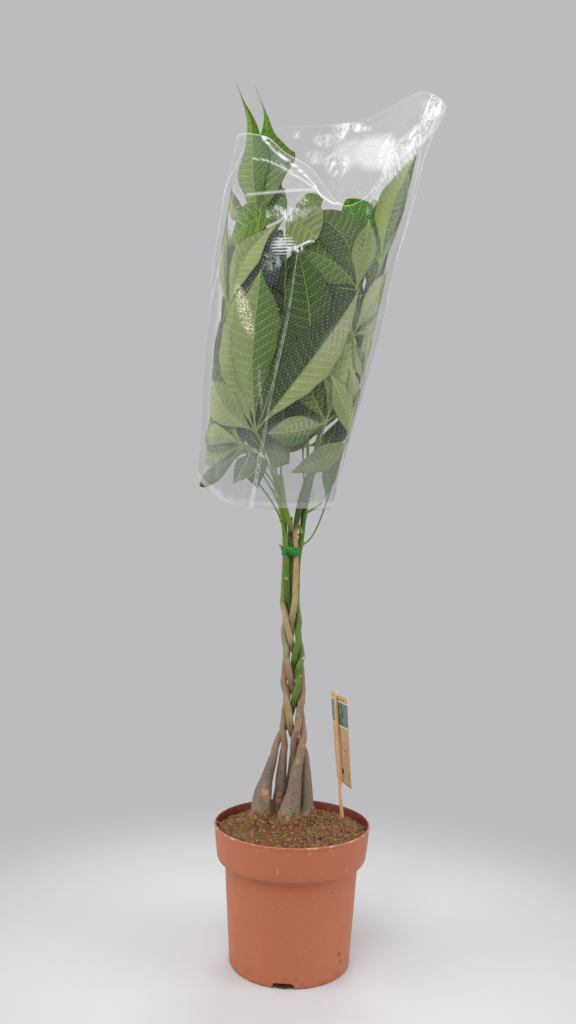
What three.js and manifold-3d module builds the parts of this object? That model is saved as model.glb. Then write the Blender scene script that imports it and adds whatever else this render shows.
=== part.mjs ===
// A potted money tree: five braided stems in a nursery pot, with palmate leaves that stand
// up inside a clear film sleeve. Millimetres, +Z up, origin on the floor under the pot's
// middle, front towards -Y. Angles run round the pot or the sleeve from +X towards +Y.
import * as THREE from 'three';
import { mergeVertices } from 'three/addons/utils/BufferGeometryUtils.js';
import Module from 'manifold-3d';

const wasm = await Module();
wasm.setup();

// Driving dimensions
const GAP = 0.3; // air between neighbouring pieces
const RIM_RADIUS = 105.5;
const POT_HEIGHT = 184;
const COLLAR_BOTTOM = 137.5;
const COLLAR_RADIUS = 101; // at its lower edge
const BODY_TOP_RADIUS = 90;
const FOOT_RADIUS = 81;
const WALL = 2.2;
const FLOOR_TOP = 8;
const PAD_RADIUS = 20;
const NOTCH_COUNT = 4;
const NOTCH_WIDTH = 28;
const NOTCH_HEIGHT = 7.5;
const NOTCH_START = THREE.MathUtils.degToRad(264.5);
const POT_SIDES = 36;
const SOIL_AT_WALL = 173;
const SOIL_MOUND = 14;
const STEM_STEP = 12; // height from one ring of a stem to the next
const STEM_SIDES = 6;
const ROOT_DEPTH_Z = 142;
const TIE_HEIGHT = 551;
const TIE_SIDES = 20;
const TIED_STEM_RADIUS = 3.7;
const BLADE_THICKNESS = 1.5; // at the midrib, thinning to the edges
const STALK_RADIUS = 1.4;
const STALK_SIDES = 4;
const STALK_STEPS = 6;
const KNUCKLE_RADIUS = 2.6;
const FILM_THICKNESS = 1;

const COLOURS = {
  pot: 0xb86b4e,
  soil: 0x5b4630,
  bark: 0x82705f,
  leaf: 0x4f7d38,
  tie: 0x12803f,
  wood: 0xd9bd8d,
  card: 0xc9a873,
  film: 0xdfe5e2,
};

// ---------------------------------------------------------------- helpers

function solidOf(geometry) {
  const bare = geometry.clone();
  bare.deleteAttribute('normal');
  bare.deleteAttribute('uv');
  const merged = mergeVertices(bare, 1e-4);
  return new wasm.Manifold(new wasm.Mesh({
    numProp: 3,
    vertProperties: new Float32Array(merged.attributes.position.array),
    triVerts: new Uint32Array(merged.index.array),
  }));
}

function geometryOf(solid) {
  const mesh = solid.getMesh();
  const geometry = new THREE.BufferGeometry();
  geometry.setAttribute('position', new THREE.BufferAttribute(mesh.vertProperties, 3));
  geometry.setIndex(new THREE.BufferAttribute(mesh.triVerts, 1));
  geometry.computeVertexNormals();
  return geometry;
}

// Keeps the largest body of a solid, because a cut can leave scraps.
function largest(solid) {
  return solid.decompose().reduce((best, body) => (body.volume() > best.volume() ? body : best));
}

// A closed skin over a row of rings, with a fan to a given point at each end. flips says
// which way each side's faces are split, mirrored so that both sides of a thin blade match.
function loft(rings, firstPoint, lastPoint, flips = [false, true]) {
  const sides = rings[0].length;
  const points = [...rings.flat(), firstPoint, lastPoint];
  const first = points.length - 2;
  const last = points.length - 1;
  const index = [];
  for (let i = 0; i < rings.length - 1; i += 1) {
    for (let j = 0; j < sides; j += 1) {
      const a = i * sides + j;
      const b = i * sides + (j + 1) % sides;
      const c = a + sides;
      const d = b + sides;
      index.push(...(flips[j % flips.length] ? [a, b, c, b, d, c] : [a, b, d, a, d, c]));
    }
  }
  const end = (rings.length - 1) * sides;
  for (let j = 0; j < sides; j += 1) {
    const next = (j + 1) % sides;
    index.push(first, next, j);
    index.push(last, end + j, end + next);
  }
  const geometry = new THREE.BufferGeometry();
  geometry.setAttribute('position', new THREE.Float32BufferAttribute(
    points.flatMap((p) => [p.x, p.y, p.z]),
    3,
  ));
  geometry.setIndex(index);
  return geometry;
}

// A tube round a row of centres, each with its own radius.
function tube(centres, radii, sides) {
  const rings = centres.map((centre, i) => {
    const before = centres[Math.max(i - 1, 0)];
    const after = centres[Math.min(i + 1, centres.length - 1)];
    const along = after.clone().sub(before).normalize();
    const across = new THREE.Vector3(0, 1, 0).cross(along).normalize();
    const third = along.clone().cross(across);
    return Array.from({ length: sides }, (_, j) => {
      const turn = 2 * Math.PI * j / sides;
      return centre.clone()
        .addScaledVector(across, radii[i] * Math.cos(turn))
        .addScaledVector(third, radii[i] * Math.sin(turn));
    });
  });
  return loft(rings, centres[0].clone(), centres.at(-1).clone());
}

// A smooth curve through rows sorted by height: the value in one column at a height.
function curveAt(rows, heightColumn, column, height) {
  const last = rows.length - 1;
  const h = (i) => rows[i][heightColumn];
  const v = (i) => rows[i][column];
  if (height <= h(0)) return v(0);
  if (height >= h(last)) return v(last);
  let i = 0;
  while (h(i + 1) < height) i += 1;
  const slope = (k) => {
    const lower = Math.max(k - 1, 0);
    const upper = Math.min(k + 1, last);
    return (v(upper) - v(lower)) / (h(upper) - h(lower));
  };
  const span = h(i + 1) - h(i);
  const t = (height - h(i)) / span;
  return (2 * t ** 3 - 3 * t ** 2 + 1) * v(i) + (t ** 3 - 2 * t ** 2 + t) * span * slope(i)
    + (3 * t ** 2 - 2 * t ** 3) * v(i + 1) + (t ** 3 - t ** 2) * span * slope(i + 1);
}

function named(name, geometry, color, roughness) {
  const material = new THREE.MeshStandardMaterial({ color, roughness, metalness: 0 });
  const mesh = new THREE.Mesh(geometry, material);
  mesh.name = name;
  return mesh;
}

// ---------------------------------------------------------------- pot and soil

// Inner wall: radius at a height.
const INNER_WALL = [
  [FOOT_RADIUS - WALL, FLOOR_TOP],
  [BODY_TOP_RADIUS - WALL, COLLAR_BOTTOM - 3.5],
  [COLLAR_RADIUS - WALL - 1, COLLAR_BOTTOM + 7],
  [RIM_RADIUS - WALL - 0.6, POT_HEIGHT],
];

function makePot() {
  const outline = [
    [0, 0],
    [PAD_RADIUS, 0],
    [PAD_RADIUS + 6, FLOOR_TOP - 2.5],
    [FOOT_RADIUS - 8, FLOOR_TOP - 2.5],
    [FOOT_RADIUS - 6, 0],
    [FOOT_RADIUS - 4, 0],
    [FOOT_RADIUS - 1, 2],
    [FOOT_RADIUS, 6],
    [BODY_TOP_RADIUS, COLLAR_BOTTOM - 3.5],
    [COLLAR_RADIUS - 3, COLLAR_BOTTOM],
    [COLLAR_RADIUS, COLLAR_BOTTOM + 5],
    [RIM_RADIUS - 1, POT_HEIGHT - 3],
    [RIM_RADIUS, POT_HEIGHT - 1.5],
    [RIM_RADIUS, POT_HEIGHT],
    ...INNER_WALL.toReversed(),
    [PAD_RADIUS + 7, FLOOR_TOP],
    [PAD_RADIUS + 1, 2.5],
    [0, 2.5],
  ].map(([r, z]) => new THREE.Vector2(r, z));
  let pot = solidOf(new THREE.LatheGeometry(outline, POT_SIDES).rotateX(Math.PI / 2));
  for (let k = 0; k < NOTCH_COUNT; k += 1) {
    const turn = NOTCH_START + 2 * Math.PI * k / NOTCH_COUNT;
    const notch = new THREE.BoxGeometry(12, NOTCH_WIDTH, 2 * NOTCH_HEIGHT);
    notch.translate(FOOT_RADIUS - 2, 0, 0).rotateZ(turn);
    pot = pot.subtract(solidOf(notch));
  }
  return pot;
}

// Height of the soil: mounded round the stems, lower at the back, in soft lumps.
function soilHeight(x, y) {
  const r = Math.hypot(x, y) / RIM_RADIUS;
  const lumps = 1.6 * Math.sin(x / 11 + 1) * Math.cos(y / 13) + Math.sin((x + 2 * y) / 17);
  return SOIL_AT_WALL - 2.5 * (y / RIM_RADIUS) + SOIL_MOUND * (1 - r ** 2) + lumps * (1 - r ** 4);
}

function makeSoil(cuts) {
  const rings = [
    [PAD_RADIUS + 0.4, 2.5 + GAP],
    [PAD_RADIUS + 6.4, FLOOR_TOP + GAP],
    ...INNER_WALL.slice(0, 3).map(([r, z], i) => [r - GAP, z + (i ? 0 : GAP)]),
  ].map(([r, z]) => circle(r, () => z));
  const edge = curveAt(INNER_WALL, 1, 0, SOIL_AT_WALL) - 1.2;
  for (const share of [1, 0.86, 0.7, 0.52, 0.34, 0.16]) rings.push(circle(edge * share, soilHeight));
  const solid = solidOf(loft(
    rings,
    new THREE.Vector3(0, 0, 2.5 + GAP),
    new THREE.Vector3(0, 0, soilHeight(0, 0)),
  ));
  return largest(cuts.reduce((left, cut) => left.subtract(cut), solid));
}

function circle(radius, heightAt) {
  return Array.from({ length: POT_SIDES }, (_, j) => {
    const turn = 2 * Math.PI * j / POT_SIDES;
    const x = radius * Math.cos(turn);
    const y = radius * Math.sin(turn);
    return new THREE.Vector3(x, y, heightAt(x, y));
  });
}

// ---------------------------------------------------------------- stems

// Each stem's centre line, bottom to top, as [x, y, z, radius]. Where one stem passes in
// front of another, its y is the lower.
const STEMS = [
  [
    [-39, 2, 142, 6], [-39, 2, 166, 11], [-40, 2, 186, 13.8], [-39, 2, 202, 14.2],
    [-38, 1, 222, 12], [-35.8, 1, 240, 8.6], [-30.5, 0, 259, 7], [-24, 0, 280, 4.7],
    [-19, 4, 296, 4.7], [-9, 9, 318, 4.7], [-3, 4, 338, 4.6], [1, -5, 352, 4.6],
    [4, -6, 385, 4.5], [4, -4, 404, 4.4], [3.5, 0, 420, 4.4], [3.5, 6, 436, 4.3],
    [-1, 7, 450, 4.2], [-8, 4, 464, 4.1], [-11.5, -2, 484, 4], [-13.5, -6, 500, 3.8],
    [-14.9, -6, 518, 3.7], [-16.2, -6, 551, 3.6], [-20.5, -5, 590, 3.8],
    [-25.5, -3, 622, 3.8], [-31, -1, 655, 3.2],
  ],
  [
    [-17, 16, 142, 5], [-17, 16, 180, 10], [-17, 14, 208, 9.8], [-15.5, 8, 232, 8.2],
    [-15, 5, 252, 6.6], [-14.5, 1, 285, 4.8], [-14, 0, 317, 4.2], [-11, 5, 343, 4.2],
    [-6, 7, 370, 4.1], [-0.5, -1, 397, 4.1], [1.2, -7, 416, 4.1], [2.2, -7, 435, 4.1],
    [2, -3, 453, 4], [0.4, 2, 472, 3.9], [-0.2, 6, 497, 3.7], [-0.2, 6, 525, 3.6],
    [1.5, 5, 548, 3.6], [4, 4, 565, 3.6], [6.5, 3, 597, 3.8], [9, 4, 630, 3.7],
    [14, 5, 668, 3.2],
  ],
  [
    [-7, -12, 142, 6], [-7, -13, 166, 12], [-6, -13, 189, 14.6], [-1.5, -12, 210, 12.6],
    [1.5, -11, 226, 10.2], [4.5, -9, 254, 7.8], [9, -8, 275, 6], [11, -7, 290, 5],
    [11.3, -4, 303, 4.8], [10.2, 2, 318, 4.8], [7.5, 5, 334, 4.7], [2, 3, 350, 4.6],
    [-6, -5, 373, 4.5], [-9, -7, 389, 4.4], [-11, -7, 402, 4.4], [-12.8, -5, 416, 4.3],
    [-15.3, 0, 435, 4.2], [-15, 5, 452, 4.1], [-12.5, 6, 475, 4], [-10.5, 4, 500, 3.8],
    [-9.8, 3, 530, 3.7], [-10, 1, 551, 3.5], [-11, 0, 575, 3.3], [-11.6, 0, 598, 3],
  ],
  [
    [20, 0, 142, 5], [20, 0, 176, 9], [19.5, 0, 196, 9.4], [19, 0, 227, 7.6],
    [17.5, 1, 252, 6.2], [14.5, 5, 277, 5.2], [7, 7, 289, 5], [-1.5, 2, 300, 4.8],
    [-4.5, -5, 314, 4.8], [-7.8, -7, 333, 4.8], [-11.2, -6, 354, 4.5], [-13.5, -2, 374, 4.4],
    [-14.5, 1, 390, 4.4], [-12.5, 5, 404, 4.3], [-8.5, 6.5, 430, 4.3], [-6, -2, 453, 4.3],
    [-5.2, -6, 466, 4.3], [-3.8, -7, 484, 4.3], [-2.9, -7, 497, 4.2], [-2.3, -6.5, 516, 4.1],
    [-2.8, -5, 551, 3.5], [-4.5, -5, 575, 3.4], [-3.2, -5, 590, 4], [0.5, -6, 610, 4.6],
    [5, -8, 630, 4.7], [11, -8, 650, 4.4], [16, -8, 668, 3.6],
  ],
  [
    [-3, 24, 142, 5], [-4, 23, 180, 8.6], [-4, 20, 213, 8.4], [-2, 10, 252, 5.6],
    [0.5, 5, 275, 5], [1, 1, 288, 4.9], [3.5, -5, 310, 4.8], [6.5, -7, 332, 4.7],
    [8, -5, 350, 4.6], [9.3, 0, 372, 4.5], [7, 5, 392, 4.4], [-0.5, 4, 413, 4.3],
    [-7.5, -6, 431, 4.3], [-11.5, -7, 446, 4.2], [-15, -5, 462, 4.1], [-16.6, 1, 480, 4],
    [-16.8, 4, 500, 3.8], [-17, 4, 520, 3.6], [-17.5, 4, 551, 3.5], [-20, 4, 590, 3.6],
    [-26, 6, 622, 3.7], [-34, 9, 655, 3.2],
  ],
];
// A green side shoot that grows out of the cut stem.
const SIDE_SHOOT = [
  [-10.5, -3.4, 572, 2.8], [-12.5, -12.6, 588, 3.4], [-19.5, -16, 612, 3.5], [-26, -17, 652, 3],
];
const SIDE_SHOOT_OWNER = 2;
const SPREAD_PASSES = 60;
const SPREAD_MARGIN = 1.2; // allows for stems that cross at a slant

// Reads the stems at even heights and eases apart those that would touch.
function spreadStems() {
  const stems = STEMS.map((rows) => {
    const top = rows.at(-1)[2];
    const count = Math.round((top - ROOT_DEPTH_Z) / STEM_STEP);
    return Array.from({ length: count + 1 }, (_, i) => {
      const z = i === count ? top : ROOT_DEPTH_Z + i * STEM_STEP;
      const [x, y, r] = [0, 1, 3].map((column) => curveAt(rows, 2, column, z));
      return { x, y, z, r };
    });
  });
  for (let pass = 0; pass < SPREAD_PASSES; pass += 1) {
    for (let level = 0; level < Math.max(...stems.map((s) => s.length)); level += 1) {
      for (let i = 0; i < stems.length; i += 1) {
        for (let j = 0; j < i; j += 1) {
          if (level < stems[i].length && level < stems[j].length) {
            easeApart(stems[i][level], stems[j][level]);
          }
        }
      }
    }
  }
  return stems;
}

function easeApart(a, b) {
  const dx = a.x - b.x;
  const dy = a.y - b.y;
  const distance = Math.hypot(dx, dy);
  const need = (a.r + b.r) * SPREAD_MARGIN + 2 * GAP;
  if (distance >= need) return;
  const push = 0.25 * (need - distance);
  // sideways shares are smaller, so that the braid keeps its outline from the front
  const length = Math.hypot(0.3 * dx, dy);
  a.x += push * 0.3 * dx / length;
  b.x -= push * 0.3 * dx / length;
  a.y += push * dy / length;
  b.y -= push * dy / length;
}

function stemSolid(stem, grow) {
  const centres = stem.map(({ x, y, z }) => new THREE.Vector3(x, y, z));
  return solidOf(tube(centres, stem.map(({ r }) => r + grow), STEM_SIDES));
}

function sideShoot(grow) {
  const centres = SIDE_SHOOT.map(([x, y, z]) => new THREE.Vector3(x, y, z));
  return solidOf(tube(centres, SIDE_SHOOT.map((row) => row[3] + grow), STEM_SIDES));
}

// Where a stalk can start: a point on a stem's centre line.
function onStem(stems, number, z) {
  if (number === 'side') {
    return new THREE.Vector3(curveAt(SIDE_SHOOT, 2, 0, z), curveAt(SIDE_SHOOT, 2, 1, z), z);
  }
  const rows = stems[number - 1].map((p) => [p.x, p.y, p.z]);
  return new THREE.Vector3(curveAt(rows, 2, 0, z), curveAt(rows, 2, 1, z), z);
}

// ---------------------------------------------------------------- sleeve

// The sleeve's section by height: [z, left edge x, right edge x, half depth].
const SLEEVE = [
  [600, -146, 45, 47], [650, -142, 55, 49], [700, -138, 67, 52], [790, -136, 91, 58],
  [875, -131, 112, 63], [950, -128, 126, 67], [1005, -121, 142, 70], [1055, -114, 155, 71],
  [1100, -104, 164, 71], [1140, -98, 178, 70], [1175, -104, 194, 68], [1230, -114, 212, 62],
];
// Its cut edges: [angle in degrees, height].
const SLEEVE_BOTTOM = [
  [0, 611], [90, 611], [150, 636], [180, 652], [215, 634], [245, 611], [360, 611],
];
const SLEEVE_TOP = [
  [0, 1176], [25, 1208], [45, 1226], [60, 1210], [78, 1192], [111, 1180], [130, 1170],
  [152, 1150], [180, 1134], [229, 1107], [246, 1080], [263, 1058], [284, 1012], [299, 1024],
  [309, 1072], [317, 1118], [338, 1154], [360, 1176],
];
const SLEEVE_SIDES = 28;
const SLEEVE_RINGS = 7;

function sleeveAt(z) {
  const [left, right, depth] = [1, 2, 3].map((column) => curveAt(SLEEVE, 0, column, z));
  return { middle: (left + right) / 2, half: (right - left) / 2, depth };
}

// A point at an angle and height, inset from the film by so many millimetres.
function wrap(angle, z, inset) {
  const { middle, half, depth } = sleeveAt(z);
  return new THREE.Vector3(
    middle + (half - inset) * Math.cos(angle),
    (depth - inset) * Math.sin(angle),
    z,
  );
}

// Millimetres round the sleeve for one radian, at an angle and height.
function arcPerRadian(angle, z) {
  const { half, depth } = sleeveAt(z);
  return Math.hypot(half * Math.sin(angle), depth * Math.cos(angle));
}

// Places on the front of the crown are read from one viewpoint, against the plane y = 0.
const EYE = { x: -15, distance: 1186, z: 557.5 };
const SIGHT_PASSES = 8;

// The point [angle, z, inset] in a front layer that shows at x and z on that plane.
function seenAt(x, z, inset) {
  let nearness = 1;
  let height = z;
  let angle = 0;
  for (let pass = 0; pass < SIGHT_PASSES; pass += 1) {
    const trueX = EYE.x + (x - EYE.x) * nearness;
    height = EYE.z + (z - EYE.z) * nearness;
    const { middle, half } = sleeveAt(height);
    angle = -Math.acos(THREE.MathUtils.clamp((trueX - middle) / (half - inset), -1, 1));
    nearness = 1 + wrap(angle, height, inset).y / EYE.distance;
  }
  return [angle, height, inset];
}

function makeSleeve() {
  const surface = (inset) => Array.from({ length: SLEEVE_RINGS + 1 }, (_, i) => (
    Array.from({ length: SLEEVE_SIDES }, (_ignored, j) => {
      const degrees = 360 * j / SLEEVE_SIDES;
      const low = curveAt(SLEEVE_BOTTOM, 0, 1, degrees);
      const high = curveAt(SLEEVE_TOP, 0, 1, degrees);
      return wrap(THREE.MathUtils.degToRad(degrees), low + (high - low) * i / SLEEVE_RINGS, inset);
    })
  ));
  // up the outside, over the top edge, down the inside and back to the start
  const rings = [...surface(0), ...surface(FILM_THICKNESS).toReversed()];
  const points = rings.flat();
  const index = [];
  for (let i = 0; i < rings.length; i += 1) {
    for (let j = 0; j < SLEEVE_SIDES; j += 1) {
      const a = i * SLEEVE_SIDES + j;
      const b = i * SLEEVE_SIDES + (j + 1) % SLEEVE_SIDES;
      const c = (a + SLEEVE_SIDES) % points.length;
      const d = (b + SLEEVE_SIDES) % points.length;
      index.push(...(i < SLEEVE_RINGS ? [a, b, d, a, d, c] : [a, b, c, b, d, c]));
    }
  }
  const geometry = new THREE.BufferGeometry();
  geometry.setAttribute('position', new THREE.Float32BufferAttribute(
    points.flatMap((p) => [p.x, p.y, p.z]),
    3,
  ));
  geometry.setIndex(index);
  geometry.computeVertexNormals();
  return geometry;
}

// ---------------------------------------------------------------- leaves

// Leaves on the front, from the film inwards. stem and from say where the stalk starts,
// hub is where the leaflets meet, as [x, z, inset from the film], and each leaflet is
// [tip x, tip z, inset at the tip, width, sideways bow of its midrib, where along it it is
// widest if not at WIDEST]. Every x and z is as it shows on the plane y = 0.
const FRONT_LEAVES = [
  { stem: 'side', from: 640, hub: [-62, 715, 5], leaflets: [
    [-60, 944, 5, 70, -10], [-92, 912, 9, 52, -12], [-125, 787, 7, 42, -6],
    [78, 920, 6, 54, 16], [-20, 900, 10, 50, 8],
  ] },
  { stem: 5, from: 606, hub: [-78, 696, 7], leaflets: [
    [-138, 706, 7, 32, -10], [-139, 641, 6, 26, 8], [-118, 806, 12, 46, -6],
    [-54, 634, 10, 32, -6], [-132, 746, 11, 32, -5],
  ] },
  { stem: 2, from: 562, hub: [66, 706, 4], leaflets: [
    [-23, 652, 6, 36, -8], [36, 624, 9, 40, 8], [66, 808, 8, 38, 5],
    [90, 800, 5, 26, -4], [22, 790, 13, 40, -6],
  ] },
  { stem: 4, from: 640, hub: [34, 730, 10], leaflets: [
    [-47, 713, 9, 42, 6], [64, 876, 12, 58, 6], [-4, 830, 15, 46, -6],
    [82, 806, 13, 30, 5],
  ] },
  { stem: 4, from: 652, hub: [10, 806, 9], leaflets: [
    [-9, 975, 9, 66, 4], [-50, 888, 13, 46, -6], [57, 902, 11, 48, 8],
    [62, 850, 15, 34, 4], [-46, 832, 15, 34, -4],
  ] },
  { stem: 2, from: 600, hub: [68, 852, 9], leaflets: [
    [122, 946, 9, 38, -6], [118, 893, 11, 30, 4], [84, 790, 8, 24, 6],
    [60, 960, 18, 46, -5],
  ] },
  { stem: 2, from: 647, hub: [74, 917, 12], leaflets: [
    [-24, 1022, 12, 58, -8], [5, 1034, 15, 62, 12], [-14, 935, 18, 42, -4],
    [89, 1017, 10, 40, 4],
  ] },
  { stem: 2, from: 664, hub: [106, 950, 12], leaflets: [
    [157, 1116, 6, 54, -18, 0.45], [146, 1090, 13, 36, 12], [56, 1045, 18, 54, -6],
    [94, 1050, 16, 48, -4],
  ] },
  { stem: 5, from: 642, hub: [-104, 884, 11], leaflets: [
    [-42, 1005, 12, 50, 8], [-114, 1040, 10, 38, -8], [-30, 975, 15, 56, 12],
    [-58, 850, 16, 34, 4],
  ] },
  { stem: 1, from: 650, hub: [-66, 996, 14], leaflets: [
    [-101, 1208, 6, 46, 6, 0.4], [-74, 1208, 11, 66, 24, 0.36], [-106, 1060, 9, 24, -4],
    [-30, 1060, 17, 40, 4],
  ] },
  { stem: 'side', from: 650, hub: [-26, 1018, 17], leaflets: [
    [-106, 976, 15, 44, 6], [-62, 1092, 18, 40, -4], [26, 1050, 19, 40, 5],
    [-84, 930, 18, 34, 4],
  ] },
  { stem: 1, from: 624, hub: [-52, 690, 17], leaflets: [
    [-130, 676, 15, 40, 6], [-92, 642, 14, 30, 4], [-14, 672, 15, 34, -5],
    [-96, 770, 19, 38, -6], [-50, 790, 19, 42, 4],
  ] },
];

// Leaves round the back and sides: stem, start height, then the hub's angle in degrees,
// height and inset, and the length of the longest leaflet.
const BACK_LEAVES = [
  [5, 592, 150, 706, 5, 190],
  [5, 634, 112, 690, 9, 190],
  [2, 618, 66, 700, 5, 190],
  [2, 628, 30, 742, 9, 165],
  [5, 626, 90, 780, 14, 180],
  [5, 643, 158, 840, 11, 160],
  [1, 644, 128, 872, 17, 180],
  [2, 650, 48, 852, 14, 180],
  [4, 656, 92, 905, 21, 140],
  [2, 656, 24, 905, 19, 165],
];
// One such leaf's leaflets: lean from upright in degrees, share of the longest, and width
// as a share of the length.
const FAN = [
  [-66, 0.62, 0.31], [-30, 0.92, 0.27], [4, 1, 0.27], [37, 0.88, 0.28], [72, 0.6, 0.32],
];
const FAN_DEPTH_STEP = 1; // the second leaflet of each pair lies this much deeper
const BLADE_STATIONS = [0.1, 0.3, 0.52, 0.74, 0.9];
const FOLD = 0.05; // how far the blade's edges lift, as a share of its half width

const WIDEST = 0.56;

// Width of a leaflet along its length: narrow at the hub, full at its widest place, and
// drawn out to a point.
function outline(t, widest) {
  const shifted = t ** (Math.log(0.5) / Math.log(widest));
  return Math.sin(Math.PI * shifted) ** 0.9 * (1 - 0.2 * t ** 6);
}

// A blade that lies in a layer of the sleeve, from a hub to its tip, each [angle, z, inset].
function blade(hub, { tip, width, bow, widest }, grow) {
  const around = arcPerRadian((hub[0] + tip[0]) / 2, (hub[1] + tip[1]) / 2);
  const across = (tip[0] - hub[0]) * around;
  const up = tip[1] - hub[1];
  const length = Math.hypot(across, up);
  const side = { angle: up / length, z: -across / length };
  const rings = BLADE_STATIONS.map((t) => {
    const shift = bow * 4 * t * (1 - t);
    const angle = hub[0] + (tip[0] - hub[0]) * t + shift * side.angle / around;
    const z = hub[1] + up * t + shift * side.z;
    const inset = hub[2] + (tip[2] - hub[2]) * t;
    const half = width * outline(t, widest) / 2 + grow;
    const local = arcPerRadian(angle, z);
    const thick = BLADE_THICKNESS / 2 + grow;
    const edge = (sign, depth) => wrap(
      angle + sign * half * side.angle / local,
      z + sign * half * side.z,
      inset - FOLD * half + depth,
    );
    const outer = wrap(angle, z, inset - thick);
    const inner = wrap(angle, z, inset + thick);
    if (grow === 0) return [outer, edge(1, 0), inner, edge(-1, 0)];
    // a grown blade is thick at its edges too
    return [outer, edge(1, -grow), edge(1, grow), inner, edge(-1, grow), edge(-1, -grow)];
  });
  const flips = grow === 0 ? [false, true] : [false, true, true];
  return solidOf(loft(rings, wrap(...hub), wrap(...tip), flips));
}

// The stalk: out of the stem's side, then up to the hub.
function stalk(stems, leaf, grow) {
  const hub = wrap(...leaf.hub);
  const axis = onStem(stems, leaf.stem, leaf.from);
  const outward = hub.clone().sub(axis).setZ(0);
  const reach = outward.length();
  outward.normalize();
  const start = axis.clone().addScaledVector(outward, leaf.stemRadius + GAP + STALK_RADIUS);
  const rise = hub.z - start.z;
  const curve = new THREE.CubicBezierCurve3(
    start,
    start.clone().addScaledVector(outward, 0.16 * reach).setZ(start.z + 0.35 * rise),
    hub.clone().addScaledVector(outward, -0.35 * reach).setZ(hub.z - 0.3 * rise),
    hub,
  );
  const centres = curve.getPoints(STALK_STEPS);
  return solidOf(tube(centres, centres.map(() => STALK_RADIUS + grow), STALK_SIDES));
}

// The knob where a leaf's leaflets meet.
function knuckle(leaf, grow) {
  const knob = new THREE.IcosahedronGeometry(KNUCKLE_RADIUS + grow);
  return solidOf(knob.translate(...wrap(...leaf.hub).toArray()));
}

function planLeaves(stems) {
  const front = FRONT_LEAVES.map(({ stem, from, hub: [x, z, inset], leaflets }) => ({
    stem,
    from,
    hub: seenAt(x, z, inset),
    leaflets: leaflets.map(([tipX, tipZ, tipInset, width, bow, widest = WIDEST]) => ({
      tip: seenAt(tipX, tipZ, tipInset),
      width,
      bow,
      widest,
    })),
  }));
  const back = BACK_LEAVES.map(([stem, from, degrees, z, inset, longest]) => {
    const angle = THREE.MathUtils.degToRad(degrees);
    const around = arcPerRadian(angle, z);
    const leaflets = FAN.map(([lean, share, slender], i) => {
      const turn = THREE.MathUtils.degToRad(lean);
      const length = longest * share;
      const tipInset = inset + FAN_DEPTH_STEP * (i % 2);
      const tip = [angle + length * Math.sin(turn) / around, z + length * Math.cos(turn), tipInset];
      return { tip, width: length * slender, bow: lean / 12, widest: WIDEST };
    });
    return { stem, from, hub: [angle, z, inset], leaflets };
  });
  return [...front, ...back].map((leaf) => ({ ...leaf, stemRadius: stemRadius(stems, leaf) }));
}

function stemRadius(stems, { stem, from }) {
  if (stem === 'side') return curveAt(SIDE_SHOOT, 2, 3, from);
  return curveAt(stems[stem - 1].map((p) => [p.r, p.z]), 1, 0, from);
}

// Each leaf is its stalk, a small knuckle and its blades in one body. A blade gives way to
// every other leaf's stalk and to the blades nearer the film.
function makeLeaves(stems, obstacles) {
  const plans = planLeaves(stems);
  const blades = (leaf, grow) => leaf.leaflets
    .map((leaflet) => blade(leaf.hub, leaflet, grow))
    .reduce((joined, one) => joined.add(one));
  const fatStalks = plans.map((leaf) => stalk(stems, leaf, GAP).add(knuckle(leaf, GAP)));
  const fatBlades = plans.map((leaf) => blades(leaf, 1.5 * GAP));
  return plans.map((leaf, k) => {
    let spread = blades(leaf, 0);
    plans.forEach((other, j) => {
      if (j < k) spread = spread.subtract(fatBlades[j]);
      if (j !== k) spread = spread.subtract(fatStalks[j]);
    });
    for (const obstacle of obstacles) spread = spread.subtract(obstacle);
    return largest(spread.add(knuckle(leaf, 0)).add(stalk(stems, leaf, 0)));
  });
}

// ---------------------------------------------------------------- tie and label

// A flat band of raffia round the stems that it holds, with its knot in front.
function makeTie(stems) {
  const held = [1, 3, 4, 5].map((number) => onStem(stems, number, TIE_HEIGHT));
  const middle = held.reduce((sum, p) => sum.add(p), new THREE.Vector3()).divideScalar(held.length);
  // the outermost stem in each direction carries the band there
  const loop = (clearance, z) => Array.from({ length: TIE_SIDES }, (_, j) => {
    const turn = 2 * Math.PI * j / TIE_SIDES;
    const out = new THREE.Vector3(Math.cos(turn), Math.sin(turn), 0);
    const carrier = held.reduce((best, p) => (p.dot(out) > best.dot(out) ? p : best));
    return carrier.clone().addScaledVector(out, TIED_STEM_RADIUS + clearance).setZ(z);
  });
  const outer = loft(
    [loop(1.8, TIE_HEIGHT - 3.5), loop(1.8, TIE_HEIGHT + 3.5)],
    middle.clone().setZ(TIE_HEIGHT - 3.5),
    middle.clone().setZ(TIE_HEIGHT + 3.5),
  );
  const inner = loft(
    [loop(0.7, TIE_HEIGHT - 6), loop(0.7, TIE_HEIGHT + 6)],
    middle.clone().setZ(TIE_HEIGHT - 6),
    middle.clone().setZ(TIE_HEIGHT + 6),
  );
  // the knot sits in front, halfway between the two stems that show there
  const knotPlace = held[0].clone().add(held[2]).multiplyScalar(0.5);
  knotPlace.add(new THREE.Vector3(0, -TIED_STEM_RADIUS - 2.6, 1));
  const knot = new THREE.IcosahedronGeometry(5, 1);
  knot.scale(1.1, 0.45, 1.5).translate(...knotPlace.toArray());
  return solidOf(outer).subtract(solidOf(inner)).add(solidOf(knot));
}

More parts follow.
